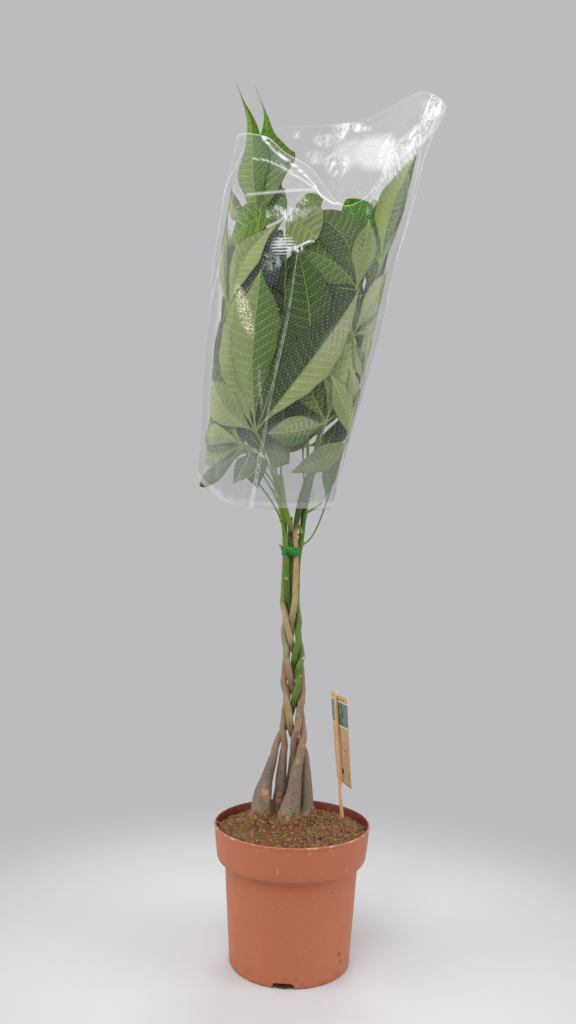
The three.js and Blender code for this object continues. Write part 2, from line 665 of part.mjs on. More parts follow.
// The label stands turned, with its broad side seen at a slant. Each piece is drawn with its
// width along X and its thickness along Y.
const LABEL_FOOT = new THREE.Vector3(73.5, 49, 142);
const LABEL_TOP = new THREE.Vector3(58, 49, 354);
const LABEL_TURN = THREE.MathUtils.degToRad(-68);
const STICK = { width: 5.4, thickness: 4.2, headWidth: 7, headLength: 9 };
const CARD = { width: 64, thickness: 1, length: 125, below: 1, aside: 8.5 };
const CARD_TILT = THREE.MathUtils.degToRad(2.1); // its lower end stands off the stick

function makeStick() {
  const length = LABEL_TOP.distanceTo(LABEL_FOOT);
  const shaft = new THREE.BoxGeometry(STICK.width, STICK.thickness, length);
  const head = new THREE.BoxGeometry(STICK.headWidth, STICK.thickness, STICK.headLength);
  head.translate(0, 0, (length - STICK.headLength) / 2);
  return standLabel(geometryOf(solidOf(shaft).add(solidOf(head))), length / 2);
}

function makeCard() {
  const card = new THREE.BoxGeometry(CARD.width, CARD.thickness, CARD.length);
  card.translate(CARD.aside, CARD.thickness / 2, -CARD.length / 2).rotateX(CARD_TILT);
  card.translate(0, STICK.thickness / 2 + GAP, 0);
  return standLabel(card, LABEL_TOP.distanceTo(LABEL_FOOT) - CARD.below);
}

// Turns and leans a label piece, with its own origin at a distance up from the foot.
function standLabel(geometry, distance) {
  const along = LABEL_TOP.clone().sub(LABEL_FOOT).normalize();
  const lean = new THREE.Quaternion().setFromUnitVectors(new THREE.Vector3(0, 0, 1), along);
  const place = LABEL_FOOT.clone().addScaledVector(along, distance);
  return geometry
    .rotateZ(LABEL_TURN)
    .applyQuaternion(lean)
    .translate(place.x, place.y, place.z);
}

// ---------------------------------------------------------------- assembly

const stems = spreadStems();
const stemSolids = stems.map((stem) => stemSolid(stem, 0));
const fatStems = stems.map((stem) => stemSolid(stem, GAP));
stemSolids[SIDE_SHOOT_OWNER] = stemSolids[SIDE_SHOOT_OWNER].add(sideShoot(0));
fatStems.push(sideShoot(GAP));

const group = new THREE.Group();
group.add(named('pot', geometryOf(makePot()), COLOURS.pot, 0.55));
const stick = makeStick();
const stickHole = new THREE.BoxGeometry(STICK.width + 2 * GAP, STICK.thickness + 2 * GAP, 90);
const soilCuts = [...fatStems, solidOf(standLabel(stickHole, 45 - GAP))];
group.add(named('soil', geometryOf(makeSoil(soilCuts)), COLOURS.soil, 0.95));
stemSolids.forEach((solid, i) => {
  group.add(named(`stem_${i + 1}`, geometryOf(solid), COLOURS.bark, 0.8));
});
makeLeaves(stems, fatStems).forEach((solid, i) => {
  const name = `leaf_${String(i + 1).padStart(2, '0')}`;
  group.add(named(name, geometryOf(solid), COLOURS.leaf, 0.5));
});
group.add(named('tie', geometryOf(makeTie(stems)), COLOURS.tie, 0.4));
group.add(named('label_stick', stick, COLOURS.wood, 0.7));
group.add(named('label_card', makeCard(), COLOURS.card, 0.7));
group.add(named('sleeve', makeSleeve(), COLOURS.film, 0.15));

export default group;
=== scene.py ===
# %% [markdown]
# # A potted money tree in a film sleeve
# Five young money tree stems are braided by hand in the nursery, tied above the braid and
# sold in a clear film sleeve that holds the leaves upright. This lesson dresses the plain
# CAD solids with fine meshes and procedural finishes. All tables are in millimetres.

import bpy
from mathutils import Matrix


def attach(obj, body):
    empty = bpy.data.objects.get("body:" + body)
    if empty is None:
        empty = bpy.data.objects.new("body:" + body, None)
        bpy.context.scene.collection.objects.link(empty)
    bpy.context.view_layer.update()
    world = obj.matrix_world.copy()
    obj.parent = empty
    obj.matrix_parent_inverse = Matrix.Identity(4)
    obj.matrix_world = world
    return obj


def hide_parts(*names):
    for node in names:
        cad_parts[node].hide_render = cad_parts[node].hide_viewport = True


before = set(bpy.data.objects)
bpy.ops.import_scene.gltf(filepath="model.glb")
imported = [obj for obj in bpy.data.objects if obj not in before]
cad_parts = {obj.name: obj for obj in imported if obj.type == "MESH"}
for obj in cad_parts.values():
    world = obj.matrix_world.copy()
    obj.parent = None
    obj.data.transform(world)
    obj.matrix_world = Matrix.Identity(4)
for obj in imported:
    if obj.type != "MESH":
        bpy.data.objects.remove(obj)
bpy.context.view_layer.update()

# %% Helpers for numbers and smooth curves
import random
from math import acos, cos, exp, hypot, pi, radians, sin, sqrt

import bmesh
import bpy
import numpy as np
from mathutils import Matrix, Vector, noise

MM = 0.001


def srgb(red, green, blue):
    """A screen colour of 0 to 255 as the linear colour that shaders want."""
    def linear(value):
        value /= 255
        return value / 12.92 if value <= 0.04045 else ((value + 0.055) / 1.055) ** 2.4
    return (linear(red), linear(green), linear(blue), 1.0)


def curve_at(rows, key, column, height):
    """Smooth value of a column where the key column has this height. height may be an array."""
    h = np.array([row[key] for row in rows], float)
    v = np.array([row[column] for row in rows], float)
    last = len(h) - 1
    upper = np.minimum(np.arange(last + 1) + 1, last)
    lower = np.maximum(np.arange(last + 1) - 1, 0)
    slope = (v[upper] - v[lower]) / (h[upper] - h[lower])
    height = np.clip(height, h[0], h[-1])
    i = np.clip(np.searchsorted(h, height, side="left") - 1, 0, last - 1)
    span = h[i + 1] - h[i]
    t = (height - h[i]) / span
    return ((2 * t**3 - 3 * t**2 + 1) * v[i] + (t**3 - 2 * t**2 + t) * span * slope[i]
            + (3 * t**2 - 2 * t**3) * v[i + 1] + (t**3 - t**2) * span * slope[i + 1])


def smooth_step(low, high, value):
    t = np.clip((value - low) / (high - low), 0, 1)
    return t * t * (3 - 2 * t)


def rough(point, size):
    """Smooth noise from -1 to 1 at a point, with bumps of about this size."""
    return noise.noise(Vector(point) / size)


def even_turns(count):
    """Directions all the way round, in radians."""
    return 2 * np.pi * np.arange(count) / count


def circle(radius, height, turn):
    """Points round Z at a radius, or at one radius for each direction."""
    return np.stack([radius * np.cos(turn), radius * np.sin(turn), 0 * turn + height], -1)


def outward(turn):
    """The level directions straight out and sideways at a turn round Z."""
    return np.array([cos(turn), sin(turn), 0]), np.array([-sin(turn), cos(turn), 0])


def unit(vectors):
    """The same directions at length 1."""
    return vectors / np.linalg.norm(vectors, axis=-1, keepdims=True)


def line_through(places, count):
    """Steps along a few places, and count smooth values of each of their columns."""
    rows = [[i, *place] for i, place in enumerate(places)]
    steps = np.linspace(0, len(rows) - 1, count)
    return steps, np.stack([curve_at(rows, 0, c, steps) for c in range(1, len(rows[0]))], -1)


print("halfway from 1 to 4:", line_through([(0,), (1,), (4,)], 5)[1][3])


# %% [markdown]
# ## Closed skins
# Stems, stalks, blades, ribbons and threads are all one kind of shape: a row of rings with a
# skin over them. Lofting rings gives full control over every section, and a fan of faces at
# each end closes the skin, so the mesh is a solid that could be printed.

# %% Loft rings into closed skins and collect them in one piece
def loft(rings, last=None):
    """A closed skin over rings of equal length, as points and faces. last is its end point."""
    rings = np.asarray(rings, float)
    count, sides = rings.shape[:2]
    last = rings[-1].mean(0) if last is None else last
    points = np.vstack([rings.reshape(-1, 3), rings[0].mean(0), last])
    i, j = np.meshgrid(np.arange(count - 1), np.arange(sides), indexing="ij")
    a = i * sides + j
    b = i * sides + (j + 1) % sides
    faces = np.stack([a, b, b + sides, a + sides], -1).reshape(-1, 4).tolist()
    end = (count - 1) * sides
    for k in range(sides):
        after = (k + 1) % sides
        faces.append((count * sides, after, k))
        faces.append((count * sides + 1, end + k, end + after))
    return points, faces


def tube_rings(centres, radii, sides):
    """Rings round a line of centres."""
    centres = np.asarray(centres, float)
    radii = np.broadcast_to(radii, len(centres))
    along = unit(np.gradient(centres, axis=0))
    guide = np.array([0.0, 1.0, 0.0])
    if abs(along[:, 1]).max() > 0.95:
        guide = np.array([0.31, 0.0, 0.95])
    across = unit(np.cross(guide, along))
    third = np.cross(along, across)
    turn = even_turns(sides)
    return (centres[:, None]
            + across[:, None] * (radii[:, None] * np.cos(turn))[..., None]
            + third[:, None] * (radii[:, None] * np.sin(turn))[..., None])


print("rings, sides, axes:", tube_rings([(0, 0, 0), (0, 0, 1)], 1, 6).shape)


# %% Collect closed skins in one piece
def with_ends(values):
    """Values of a loft's rings, with the first and last repeated for its end points."""
    return np.vstack([values, values[:1], values[-1:]])


def opaque(tint):
    """Adds an alpha of 1 to an array of colours."""
    return np.concatenate([tint, np.ones(tint.shape[:2] + (1,))], -1)


class Pile:
    """Collects closed skins and their per-point values into one piece."""

    def __init__(self, **widths):
        self.points, self.faces, self.count = [], [], 0
        self.widths = widths
        self.values = {name: [] for name in widths}

    def add(self, points, faces, **values):
        points = np.asarray(points, float)
        self.points.append(points)
        self.faces += [[k + self.count for k in face] for face in faces]
        self.count += len(points)
        for name, width in self.widths.items():
            value = np.broadcast_to(values.get(name, 0.0), (len(points), width))
            self.values[name].append(value)

    def make(self, name, material=None):
        """The finished object, in metres, with its values as colours or UV maps."""
        mesh = bpy.data.meshes.new(name)
        mesh.from_pydata((np.vstack(self.points) * MM).tolist(), [], self.faces)
        mesh.polygons.foreach_set("use_smooth", [True] * len(mesh.polygons))
        if material:
            mesh.materials.append(material)
        corner = np.empty(len(mesh.loops), int)
        mesh.loops.foreach_get("vertex_index", corner)
        for key, width in self.widths.items():
            value = np.vstack(self.values[key]).astype(np.float32)
            if width == 2:
                layer = mesh.uv_layers.new(name=key)
                layer.data.foreach_set("uv", value[corner].ravel())
            elif width == 4:
                layer = mesh.color_attributes.new(key, "FLOAT_COLOR", "POINT")
                layer.data.foreach_set("color", value.ravel())
            else:
                layer = mesh.attributes.new(key, "FLOAT", "POINT")
                layer.data.foreach_set("value", value.ravel())
        piece = bpy.data.objects.new(name, mesh)
        bpy.context.scene.collection.objects.link(piece)
        return piece


def finish_piece(piece, slot, *nodes):
    """Puts a piece on the part's one body, hides the CAD parts it replaces and prints its triangles."""
    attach(piece, "root")
    if nodes:
        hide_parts(*nodes)
    triangles = sum(len(p.vertices) - 2 for p in piece.data.polygons)
    print(f"{piece.name}: {triangles} triangles")
    return piece


# %% [markdown]
# ## Node materials
# Every finish is built from shader nodes, so it needs no image. These few helpers keep each
# material short: one adds a node and wires its inputs, the others name common jobs.

# %% Material helpers
class Finish:
    """A material under construction, with short calls for the nodes it needs."""

    def __init__(self, name, **constants):
        self.material = bpy.data.materials.new(name)
        self.material.use_nodes = True
        self.tree = self.material.node_tree
        self.shader = self.tree.nodes["Principled BSDF"]
        self.set(self.shader, constants)

    def set(self, node, inputs):
        for key, value in inputs.items():
            key = key.replace("_", " ") if isinstance(key, str) else key
            if isinstance(value, bpy.types.NodeSocket):
                self.tree.links.new(value, node.inputs[key])
            else:
                node.inputs[key].default_value = value

    def node(self, kind, inputs=(), **settings):
        node = self.tree.nodes.new("ShaderNode" + kind)
        for key, value in settings.items():
            setattr(node, key, value)
        self.set(node, dict(inputs))
        return node

    def place(self, scale=(1, 1, 1)):
        """Object coordinates, stretched."""
        here = self.node("TexCoord").outputs["Object"]
        return self.node("Mapping", {"Vector": here, "Scale": scale}).outputs[0]

    def noise(self, scale, detail=4.0, vector=None, roughness=0.55, distortion=0.0):
        vector = self.place() if vector is None else vector
        return self.node("TexNoise", {"Vector": vector, "Scale": scale, "Detail": detail,
                                      "Roughness": roughness,
                                      "Distortion": distortion}).outputs["Fac"]

    def maths(self, operation, *inputs):
        return self.node("Math", enumerate(inputs), operation=operation).outputs[0]

    def times(self, first, second):
        return self.maths("MULTIPLY", first, second)

    def most(self, first, second):
        return self.maths("MAXIMUM", first, second)

    def apart(self, first, second):
        return self.maths("ABSOLUTE", self.maths("SUBTRACT", first, second))

    def vector(self, operation, *inputs):
        """A sum on vectors. Take ["Value"] of a LENGTH and [0] of the others."""
        return self.node("VectorMath", enumerate(inputs), operation=operation).outputs

    def flat_map(self, name):
        """A UV map of the piece, whole and as its two directions."""
        place = self.node("UVMap", uv_map=name).outputs[0]
        parts = self.node("SeparateXYZ", {0: place}).outputs
        return place, parts["X"], parts["Y"]

    def span(self, value, low, high, start=0.0, end=1.0):
        """Maps low..high smoothly to start..end."""
        return self.node("MapRange", {"Value": value, "From Min": low, "From Max": high,
                                      "To Min": start, "To Max": end},
                         interpolation_type="SMOOTHSTEP").outputs[0]

    def mix(self, factor, first, second, blend="MIX"):
        return self.node("Mix", {0: factor, 6: first, 7: second}, data_type="RGBA",
                         blend_type=blend).outputs[2]

    def read(self, name):
        return self.node("Attribute", attribute_name=name)

    def bump(self, height, strength, distance):
        return self.node("Bump", {"Height": height, "Strength": strength,
                                  "Distance": distance}).outputs[0]

    def wear(self, **inputs):
        self.set(self.shader, inputs)
        return self.material


print("helpers ready")

# %% [markdown]
# ## Camera and light
# The camera stands at the height of the plant's middle, a little over a metre away, and looks
# slightly up. The light is soft, as in a packing hall, and the floor fades out so that it
# looks the same from every side.

# %% Camera
CAMERA_PLACE = (-0.015, -1.186, 0.5575)
CAMERA_PITCH = 0.0402
CAMERA_ROLL = radians(1.3)

lens = bpy.data.cameras.new("camera")
lens.lens = 30.23
lens.sensor_width = 36
camera = bpy.data.objects.new("camera", lens)
bpy.context.scene.collection.objects.link(camera)
camera.matrix_world = (Matrix.Translation(CAMERA_PLACE)
                       @ Matrix.Rotation(radians(90) + CAMERA_PITCH, 4, "X")
                       @ Matrix.Rotation(CAMERA_ROLL, 4, "Z"))
bpy.context.scene.camera = camera
print("camera at:", CAMERA_PLACE)

# %% Light, surroundings and floor
LAMPS = {  # place, size in metres, power in watts
    "key_above": ((-0.5, -1.5, 2.4), 1.4, 30),
    "left": ((-1.9, -0.5, 1.3), 1.2, 15),
    "right": ((1.9, -0.6, 1.2), 1.2, 17),
    "behind": ((0.4, 1.9, 2.0), 1.4, 16),
}
AIM = Vector((0, 0, 0.6))
AIR_COLOUR = srgb(188, 188, 190)
AIR_LIGHT = 1.0
FLOOR_RADII = (2600, 400, 20)
FLOOR_SIDES = 96
FLOOR_DROP = -0.05  # just below the part, so that the two never flicker

for name, (place, size, power) in LAMPS.items():
    light = bpy.data.lights.new(name, "AREA")
    light.energy = power
    light.size = size
    lamp = bpy.data.objects.new(name, light)
    bpy.context.scene.collection.objects.link(lamp)
    lamp.location = place
    lamp.rotation_euler = (AIM - Vector(place)).to_track_quat("-Z", "Y").to_euler()

world = bpy.data.worlds.new("air")
world.use_nodes = True
world.node_tree.nodes["Background"].inputs["Color"].default_value = AIR_COLOUR
world.node_tree.nodes["Background"].inputs["Strength"].default_value = AIR_LIGHT
bpy.context.scene.world = world
bpy.context.scene.view_settings.view_transform = "Standard"


def floor_finish():
    """Pale and matt near the pot, and gone further out, so no edge shows."""
    finish = Finish("floor", Roughness=0.75)
    spot = finish.vector("LENGTH", finish.place())["Value"]
    tone = finish.mix(finish.noise(3), srgb(206, 207, 209), srgb(214, 214, 216))
    return finish.wear(Base_Color=tone, Alpha=finish.span(spot, 0.25, 0.75, 1.0, 0.0))


floor_pile = Pile()
floor_rings = [circle(r, FLOOR_DROP, even_turns(FLOOR_SIDES)) for r in FLOOR_RADII]
floor_points, floor_faces = loft(floor_rings)
outer_end = FLOOR_SIDES * len(FLOOR_RADII)  # the fan over the outer ring is left off
floor_pile.add(floor_points, [face for face in floor_faces if outer_end not in face])
floor = floor_pile.make("floor", floor_finish())
print("lamps:", len(LAMPS))

# %% [markdown]
# ## The pot
# A moulded nursery pot is a thin wall spun round an axis: a tapered body, a tall collar and a
# rolled rim. A lathe profile gives all of it, and notches cut with a boolean let the water
# out of the foot ring. The plastic is matt, with scuffs on the collar and a little dirt.

# %% Pot mesh
RIM_RADIUS = 105.5
POT_HEIGHT = 184
FOOT_RADIUS = 81
FLOOR_TOP = 8
PAD_RADIUS = 20
NOTCH_COUNT = 4
NOTCH_WIDTH = 28
NOTCH_HEIGHT = 7.5
NOTCH_START = radians(264.5)
POT_SIDES = 160
INNER_WALL = [[78.8, FLOOR_TOP], [87.8, 134], [97.8, 144.5], [102.7, POT_HEIGHT]]
POT_UNDERSIDE = [[0, 0], [PAD_RADIUS, 0], [22, 0.6], [26, 5.5], [72.6, 5.5], [74.6, 0.5],
                 [75.2, 0], [78, 0]]
POT_OUTSIDE = [  # radius and height, from the foot up to the rim
    [79.6, 0.7], [80.5, 2.4], [81, 5], [81.2, 9], [82.6, 28], [84.7, 58], [87.2, 94],
    [89.6, 128], [90, 132.5], [91.2, 134.6], [94, 136.3], [97, 137.3], [98.8, 138.4],
    [99.9, 140.2], [100.7, 142.5], [102, 152], [103.4, 166], [104.2, 176], [104.6, 180],
    [105.2, 181.2], [RIM_RADIUS, 182.4], [105.3, 183.4], [104.6, POT_HEIGHT],
]
POT_INSIDE = [[103.4, POT_HEIGHT], [102.8, 183.3], [102.3, 180], [100.4, 164], [97.8, 144.5],
              [87.8, 134], [83.5, 74], [78.8, 8], [27, 8], [PAD_RADIUS + 1, 2.5], [0, 2.5]]


def lathe(profile, sides):
    """A profile spun round Z, with single points where it meets the axis."""
    points, faces = loft([circle(r, z, even_turns(sides)) for r, z in profile if r > 0])
    points[-2] = (0, 0, profile[0][1])
    points[-1] = (0, 0, profile[-1][1])
    return points, faces


def cut_notches(pot):
    """Subtracts the drain notches, with rounded top corners, from the foot ring."""
    cutter = Pile()
    for k in range(NOTCH_COUNT):
        out, side = outward(NOTCH_START + 2 * pi * k / NOTCH_COUNT)
        half = NOTCH_WIDTH / 2
        section = [(-half, -9), (half, -9), (half, NOTCH_HEIGHT - 5),
                   (half - 1.6, NOTCH_HEIGHT - 1.4), (half - 4.4, NOTCH_HEIGHT),
                   (4.4 - half, NOTCH_HEIGHT), (1.6 - half, NOTCH_HEIGHT - 1.4),
                   (-half, NOTCH_HEIGHT - 5)]
        rings = [[out * r + side * u + np.array([0, 0, z]) for u, z in section]
                 for r in (FOOT_RADIUS - 8, FOOT_RADIUS + 4)]
        cutter.add(*loft(rings))
    tool = cutter.make("notch_tool")
    bm = bmesh.new()
    bm.from_mesh(tool.data)
    bmesh.ops.recalc_face_normals(bm, faces=bm.faces)
    bm.to_mesh(tool.data)
    bm.free()
    cut = pot.modifiers.new("notches", "BOOLEAN")
    cut.object = tool
    cut.solver = "EXACT"
    graph = bpy.context.evaluated_depsgraph_get()
    pot.data = bpy.data.meshes.new_from_object(pot.evaluated_get(graph))
    pot.modifiers.clear()
    bpy.data.objects.remove(tool)


print("pot:", 2 * RIM_RADIUS, "mm wide,", POT_HEIGHT, "mm high")

# %% Pot finish
POT_COLOUR = srgb(188, 107, 68)
POT_SHADE = srgb(178, 96, 59)
POT_INNER_SHADE = srgb(122, 52, 42)
SCUFF_COLOUR = srgb(226, 190, 170)
DIRT_COLOUR = srgb(92, 54, 38)
POT_SCUFFS = [(-18, 153, 2.2, 5), (70, 148, 2.6, 4), (48, 178, 3, 1.6), (-33, 180, 4, 1.2),
              (-44, 177, 3, 1.4), (-4, 176, 2.4, 1.4), (22, 177, 2.6, 1.4)]
POT_SPECKS = [(64, 33, 2.6, 4), (66, 22, 2.4, 3.4), (26, 48, 1.2, 1.2), (53, 118, 1.4, 1.4),
              (-66, 30, 1.2, 1.2), (16, 40, 1, 1.3)]


def pot_point(x, z):
    """The point on the pot's front wall at a sideways place and height."""
    radius = curve_at(POT_OUTSIDE, 1, 0, z)
    return np.array([x, -sqrt(max(radius**2 - x**2, 0)), z])


def spots(finish, places):
    """1 in small ovals at the given places on the pot's front, 0 elsewhere."""
    total = None
    here = finish.node("TexCoord").outputs["Object"]
    wobble = finish.node("TexNoise", {"Vector": here, "Scale": 420.0}).outputs["Color"]
    here = finish.vector("MULTIPLY_ADD", wobble, (0.004,) * 3, here)[0]
    for x, z, width, height in places:
        centre = pot_point(x, z) * MM + 0.002
        shape = finish.vector("SUBTRACT", here, centre)[0]
        sizes = (1 / (width * MM), 1 / (4 * width * MM), 1 / (height * MM))
        shape = finish.vector("MULTIPLY", shape, sizes)[0]
        size = finish.vector("LENGTH", shape)["Value"]
        spot = finish.span(size, 1.0, 0.5)
        total = spot if total is None else finish.most(total, spot)
    return total


def pot_finish():
    """Terracotta-coloured plastic: soft tone changes, scuffs, a few specks of dirt, and painted shade
    inside the collar.
    """
    finish = Finish("pot_plastic", IOR=1.46)
    tone = finish.mix(finish.noise(9, 2), POT_SHADE, POT_COLOUR)
    grain = finish.noise(900, 2)
    tone = finish.mix(finish.span(grain, 0.35, 0.75, 0, 0.1), tone, SCUFF_COLOUR)
    scratches = finish.noise(34, 6, finish.place((6, 6, 1)), 0.7)
    tone = finish.mix(finish.span(scratches, 0.66, 0.8, 0, 0.3), tone, SCUFF_COLOUR)
    tone = finish.mix(finish.times(spots(finish, POT_SCUFFS), 0.22), tone, SCUFF_COLOUR)
    tone = finish.mix(finish.times(spots(finish, POT_SPECKS), 0.75), tone, DIRT_COLOUR)
    parts = finish.node("SeparateXYZ", {0: finish.place()}).outputs
    height = parts["Z"]
    splash = finish.times(finish.span(height, 0.03, 0.0), finish.span(finish.noise(60), 0.45, 0.8))
    tone = finish.mix(finish.times(splash, 0.5), tone, DIRT_COLOUR)
    # the rim's edge is rubbed pale in places
    rim = finish.times(finish.span(height, 0.1815, 0.1832),
                       finish.span(finish.noise(70, 3), 0.5, 0.62))
    tone = finish.mix(finish.times(rim, 0.6), tone, SCUFF_COLOUR)
    # the inside of the collar is painted dark as shade: its wall leans out by 0.124
    flat = finish.node("CombineXYZ", {"X": parts["X"], "Y": parts["Y"]}).outputs[0]
    radius = finish.vector("LENGTH", flat)["Value"]
    lean = finish.maths("SUBTRACT", radius, finish.times(height, 0.124))
    inner = finish.times(finish.span(lean, 0.0812, 0.0808), finish.span(height, 0.145, 0.149))
    tone = finish.mix(inner, tone, POT_INNER_SHADE)
    gloss = finish.span(finish.noise(45), 0.3, 0.7, 0.42, 0.56)
    return finish.wear(Base_Color=tone, Roughness=gloss, Normal=finish.bump(grain, 0.12, 0.0006))


pot_pile = Pile()
pot_pile.add(*lathe(POT_UNDERSIDE + POT_OUTSIDE + POT_INSIDE, POT_SIDES))
pot = pot_pile.make("nursery_pot", pot_finish())
cut_notches(pot)
finish_piece(pot, "pot", "pot")

# %% [markdown]
# ## Soil
# Fibrous peat is a lumpy plug with loose crumbs and curly fibres on top. The plug repeats the
# CAD mound with finer lumps. Crumbs and fibres repeat by the thousand, so Geometry Nodes
# scatter a few small shapes over the surface.

# %% Soil plug
SOIL_AT_WALL = 173
SOIL_MOUND = 14
SOIL_SIDES = 200
SOIL_RINGS = 52
SOIL_BELOW = [(74, 8.4), (78.3, 8.6), (87.3, 134), (97.3, 144.4)]
WALL_GAP = 0.9
SOIL_EDGE = float(curve_at(INNER_WALL, 1, 0, SOIL_AT_WALL)) - WALL_GAP
SOIL_HEAPS = [(-50, -14, 9, 7), (-33, -20, 9, 9), (-16, -30, 8, 6), (4, -32, 8, 8),
              (15, -16, 8, 8), (32, -10, 9, 9), (50, 8, 14, 4.5), (-66, -20, 14, 2.5),
              (-20, -2, 8, 9), (10, 4, 9, 8)]  # x, y, radius and rise of peat at the feet
ROOT_HOLLOW = (13, -11, 7, 7)  # a dark hollow beside the middle foot


def soil_height(x, y):
    """The CAD mound: higher round the stems, lower at the back, in soft lumps."""
    r = np.hypot(x, y) / RIM_RADIUS
    lumps = 1.6 * np.sin(x / 11 + 1) * np.cos(y / 13) + np.sin((x + 2 * y) / 17)
    return SOIL_AT_WALL - 2.5 * (y / RIM_RADIUS) + SOIL_MOUND * (1 - r**2) + lumps * (1 - r**4)


def peat_lift(x, y, share):
    """Fine lumps, heaps and holes on the mound, fading towards the wall."""
    coarse = rough((x, y, 3.0), 9.0)
    fine = rough((x, y, 8.0), 3.4)
    heaps = sum(rise * exp(-((x - cx)**2 + (y - cy)**2) / size**2)
                for cx, cy, size, rise in SOIL_HEAPS)
    cx, cy, size, depth = ROOT_HOLLOW
    hollow = depth * exp(-((x - cx)**2 + (y - cy)**2) / size**2)
    return (2.6 * coarse + 1.8 * fine + heaps - hollow) * (1 - 0.5 * share**6)


def soil_rings():
    turn = even_turns(SOIL_SIDES)
    rings = [circle(r, z, turn) for r, z in SOIL_BELOW]
    for k in range(SOIL_RINGS):
        share = 1 - k / SOIL_RINGS
        x, y = SOIL_EDGE * share * np.cos(turn), SOIL_EDGE * share * np.sin(turn)
        z = soil_height(x, y) + [peat_lift(a, b, share) for a, b in zip(x, y)]
        rings.append(np.stack([x, y, z], -1))
    return rings


PEAT_DARK = srgb(64, 40, 27)
PEAT_BROWN = srgb(136, 96, 66)
PEAT_RUST = srgb(150, 82, 42)
MOSS_GREEN = srgb(102, 104, 44)


def peat_finish(name, dark, light, moss):
    finish = Finish(name, Roughness=0.95, Specular_IOR_Level=0.2)
    tone = finish.mix(finish.span(finish.noise(260, 5), 0.34, 0.66), dark, light)
    rust = finish.span(finish.noise(75, 3), 0.5, 0.66)
    tone = finish.mix(finish.times(rust, 0.55), tone, PEAT_RUST)
    # moss grows in patches, mostly towards the front
    front = finish.span(finish.node("SeparateXYZ", {0: finish.place()}).outputs["Y"],
                        0.0, -0.06, 0.25, 1.0)
    patch = finish.times(finish.span(finish.noise(30, 3), 0.5, 0.62), front)
    tone = finish.mix(finish.times(patch, moss), tone, MOSS_GREEN)
    return finish.wear(Base_Color=tone, Normal=finish.bump(finish.noise(700, 6), 0.8, 0.0015))


soil_pile = Pile()
soil_pile.add(*loft(soil_rings()))
soil = soil_pile.make("peat_plug", peat_finish("peat", PEAT_DARK, PEAT_BROWN, 0.5))
finish_piece(soil, "soil", "soil")

# %% [markdown]
# ### Scattering with Geometry Nodes
# The tree below throws points on a surface at a set density, puts one small shape on each,
# turned and scaled at random from a fixed seed, makes them real and gives them a material.
# The same tree serves crumbs and fibres, with other inputs.

# %% The scatter tree
def scatter_tree():
    """Nodes that scatter a shape over the top of a surface."""
    tree = bpy.data.node_groups.new("scatter_on_soil", "GeometryNodeTree")
    sockets = {"Surface": "Geometry", "Density": "Float", "Seed": "Int", "Shape": "Object",
               "Smallest": "Float", "Largest": "Float", "Tilt": "Float", "Finish": "Material"}
    for label, kind in sockets.items():
        tree.interface.new_socket(label, in_out="INPUT", socket_type="NodeSocket" + kind)
    tree.interface.new_socket("Geometry", in_out="OUTPUT", socket_type="NodeSocketGeometry")

    def add(kind, inputs=(), **settings):
        """A node with its settings, wired to the given sockets."""
        node = tree.nodes.new(kind)
        for key, value in settings.items():
            setattr(node, key, value)
        for key, socket in dict(inputs).items():
            tree.links.new(socket, node.inputs[key])
        return node

    given = add("NodeGroupInput").outputs
    points = add("GeometryNodeDistributePointsOnFaces", {
        "Mesh": given["Surface"], "Density": given["Density"], "Seed": given["Seed"]})
    shape = add("GeometryNodeObjectInfo", {"Object": given["Shape"]})
    flip = add("ShaderNodeMath", {0: given["Tilt"]}, operation="MULTIPLY")
    flip.inputs[1].default_value = -1
    low = add("ShaderNodeCombineXYZ", {"X": flip.outputs[0], "Y": flip.outputs[0]})
    high = add("ShaderNodeCombineXYZ", {"X": given["Tilt"], "Y": given["Tilt"]})
    high.inputs["Z"].default_value = 2 * pi
    turn = add("FunctionNodeRandomValue", {"Min": low.outputs[0], "Max": high.outputs[0],
                                           "Seed": given["Seed"]}, data_type="FLOAT_VECTOR")
    size = add("FunctionNodeRandomValue", {2: given["Smallest"], 3: given["Largest"],
                                           "Seed": given["Seed"]}, data_type="FLOAT")
    place = add("GeometryNodeInstanceOnPoints", {
        "Points": points.outputs["Points"], "Instance": shape.outputs["Geometry"],
        "Rotation": turn.outputs["Value"], "Scale": size.outputs[1]})
    real = add("GeometryNodeRealizeInstances", {"Geometry": place.outputs["Instances"]})
    coat = add("GeometryNodeSetMaterial", {"Geometry": real.outputs["Geometry"],
                                           "Material": given["Finish"]})
    add("NodeGroupOutput", {"Geometry": coat.outputs["Geometry"]})
    return tree


SCATTER = scatter_tree()


def scatter(name, surface, shape, material, **inputs):
    """Runs the tree on a surface and returns the result as a plain mesh object."""
    piece = bpy.data.objects.new(name, surface.data.copy())
    bpy.context.scene.collection.objects.link(piece)
    nodes = piece.modifiers.new("scatter", "NODES")
    nodes.node_group = SCATTER
    inputs.update(Shape=shape, Finish=material)
    for item in SCATTER.interface.items_tree:
        if item.in_out == "INPUT" and item.name in inputs:
            nodes[item.identifier] = inputs[item.name]
    graph = bpy.context.evaluated_depsgraph_get()
    piece.data = bpy.data.meshes.new_from_object(piece.evaluated_get(graph))
    piece.modifiers.clear()
    return piece


print("scatter nodes:", len(SCATTER.nodes))


# %% Crumbs and fibres
def crumb_shape(seed):
    """A ragged lump of about 1 mm across."""
    bm = bmesh.new()
    bmesh.ops.create_icosphere(bm, subdivisions=1, radius=0.5 * MM)
    for vertex in bm.verts:
        vertex.co *= 1 + 0.45 * noise.noise(vertex.co * 1600 + Vector((seed, 0, 0)))
        vertex.co.z *= 0.7
    mesh = bpy.data.meshes.new("crumb")
    bm.to_mesh(mesh)
    bm.free()
    return bpy.data.objects.new("crumb", mesh)


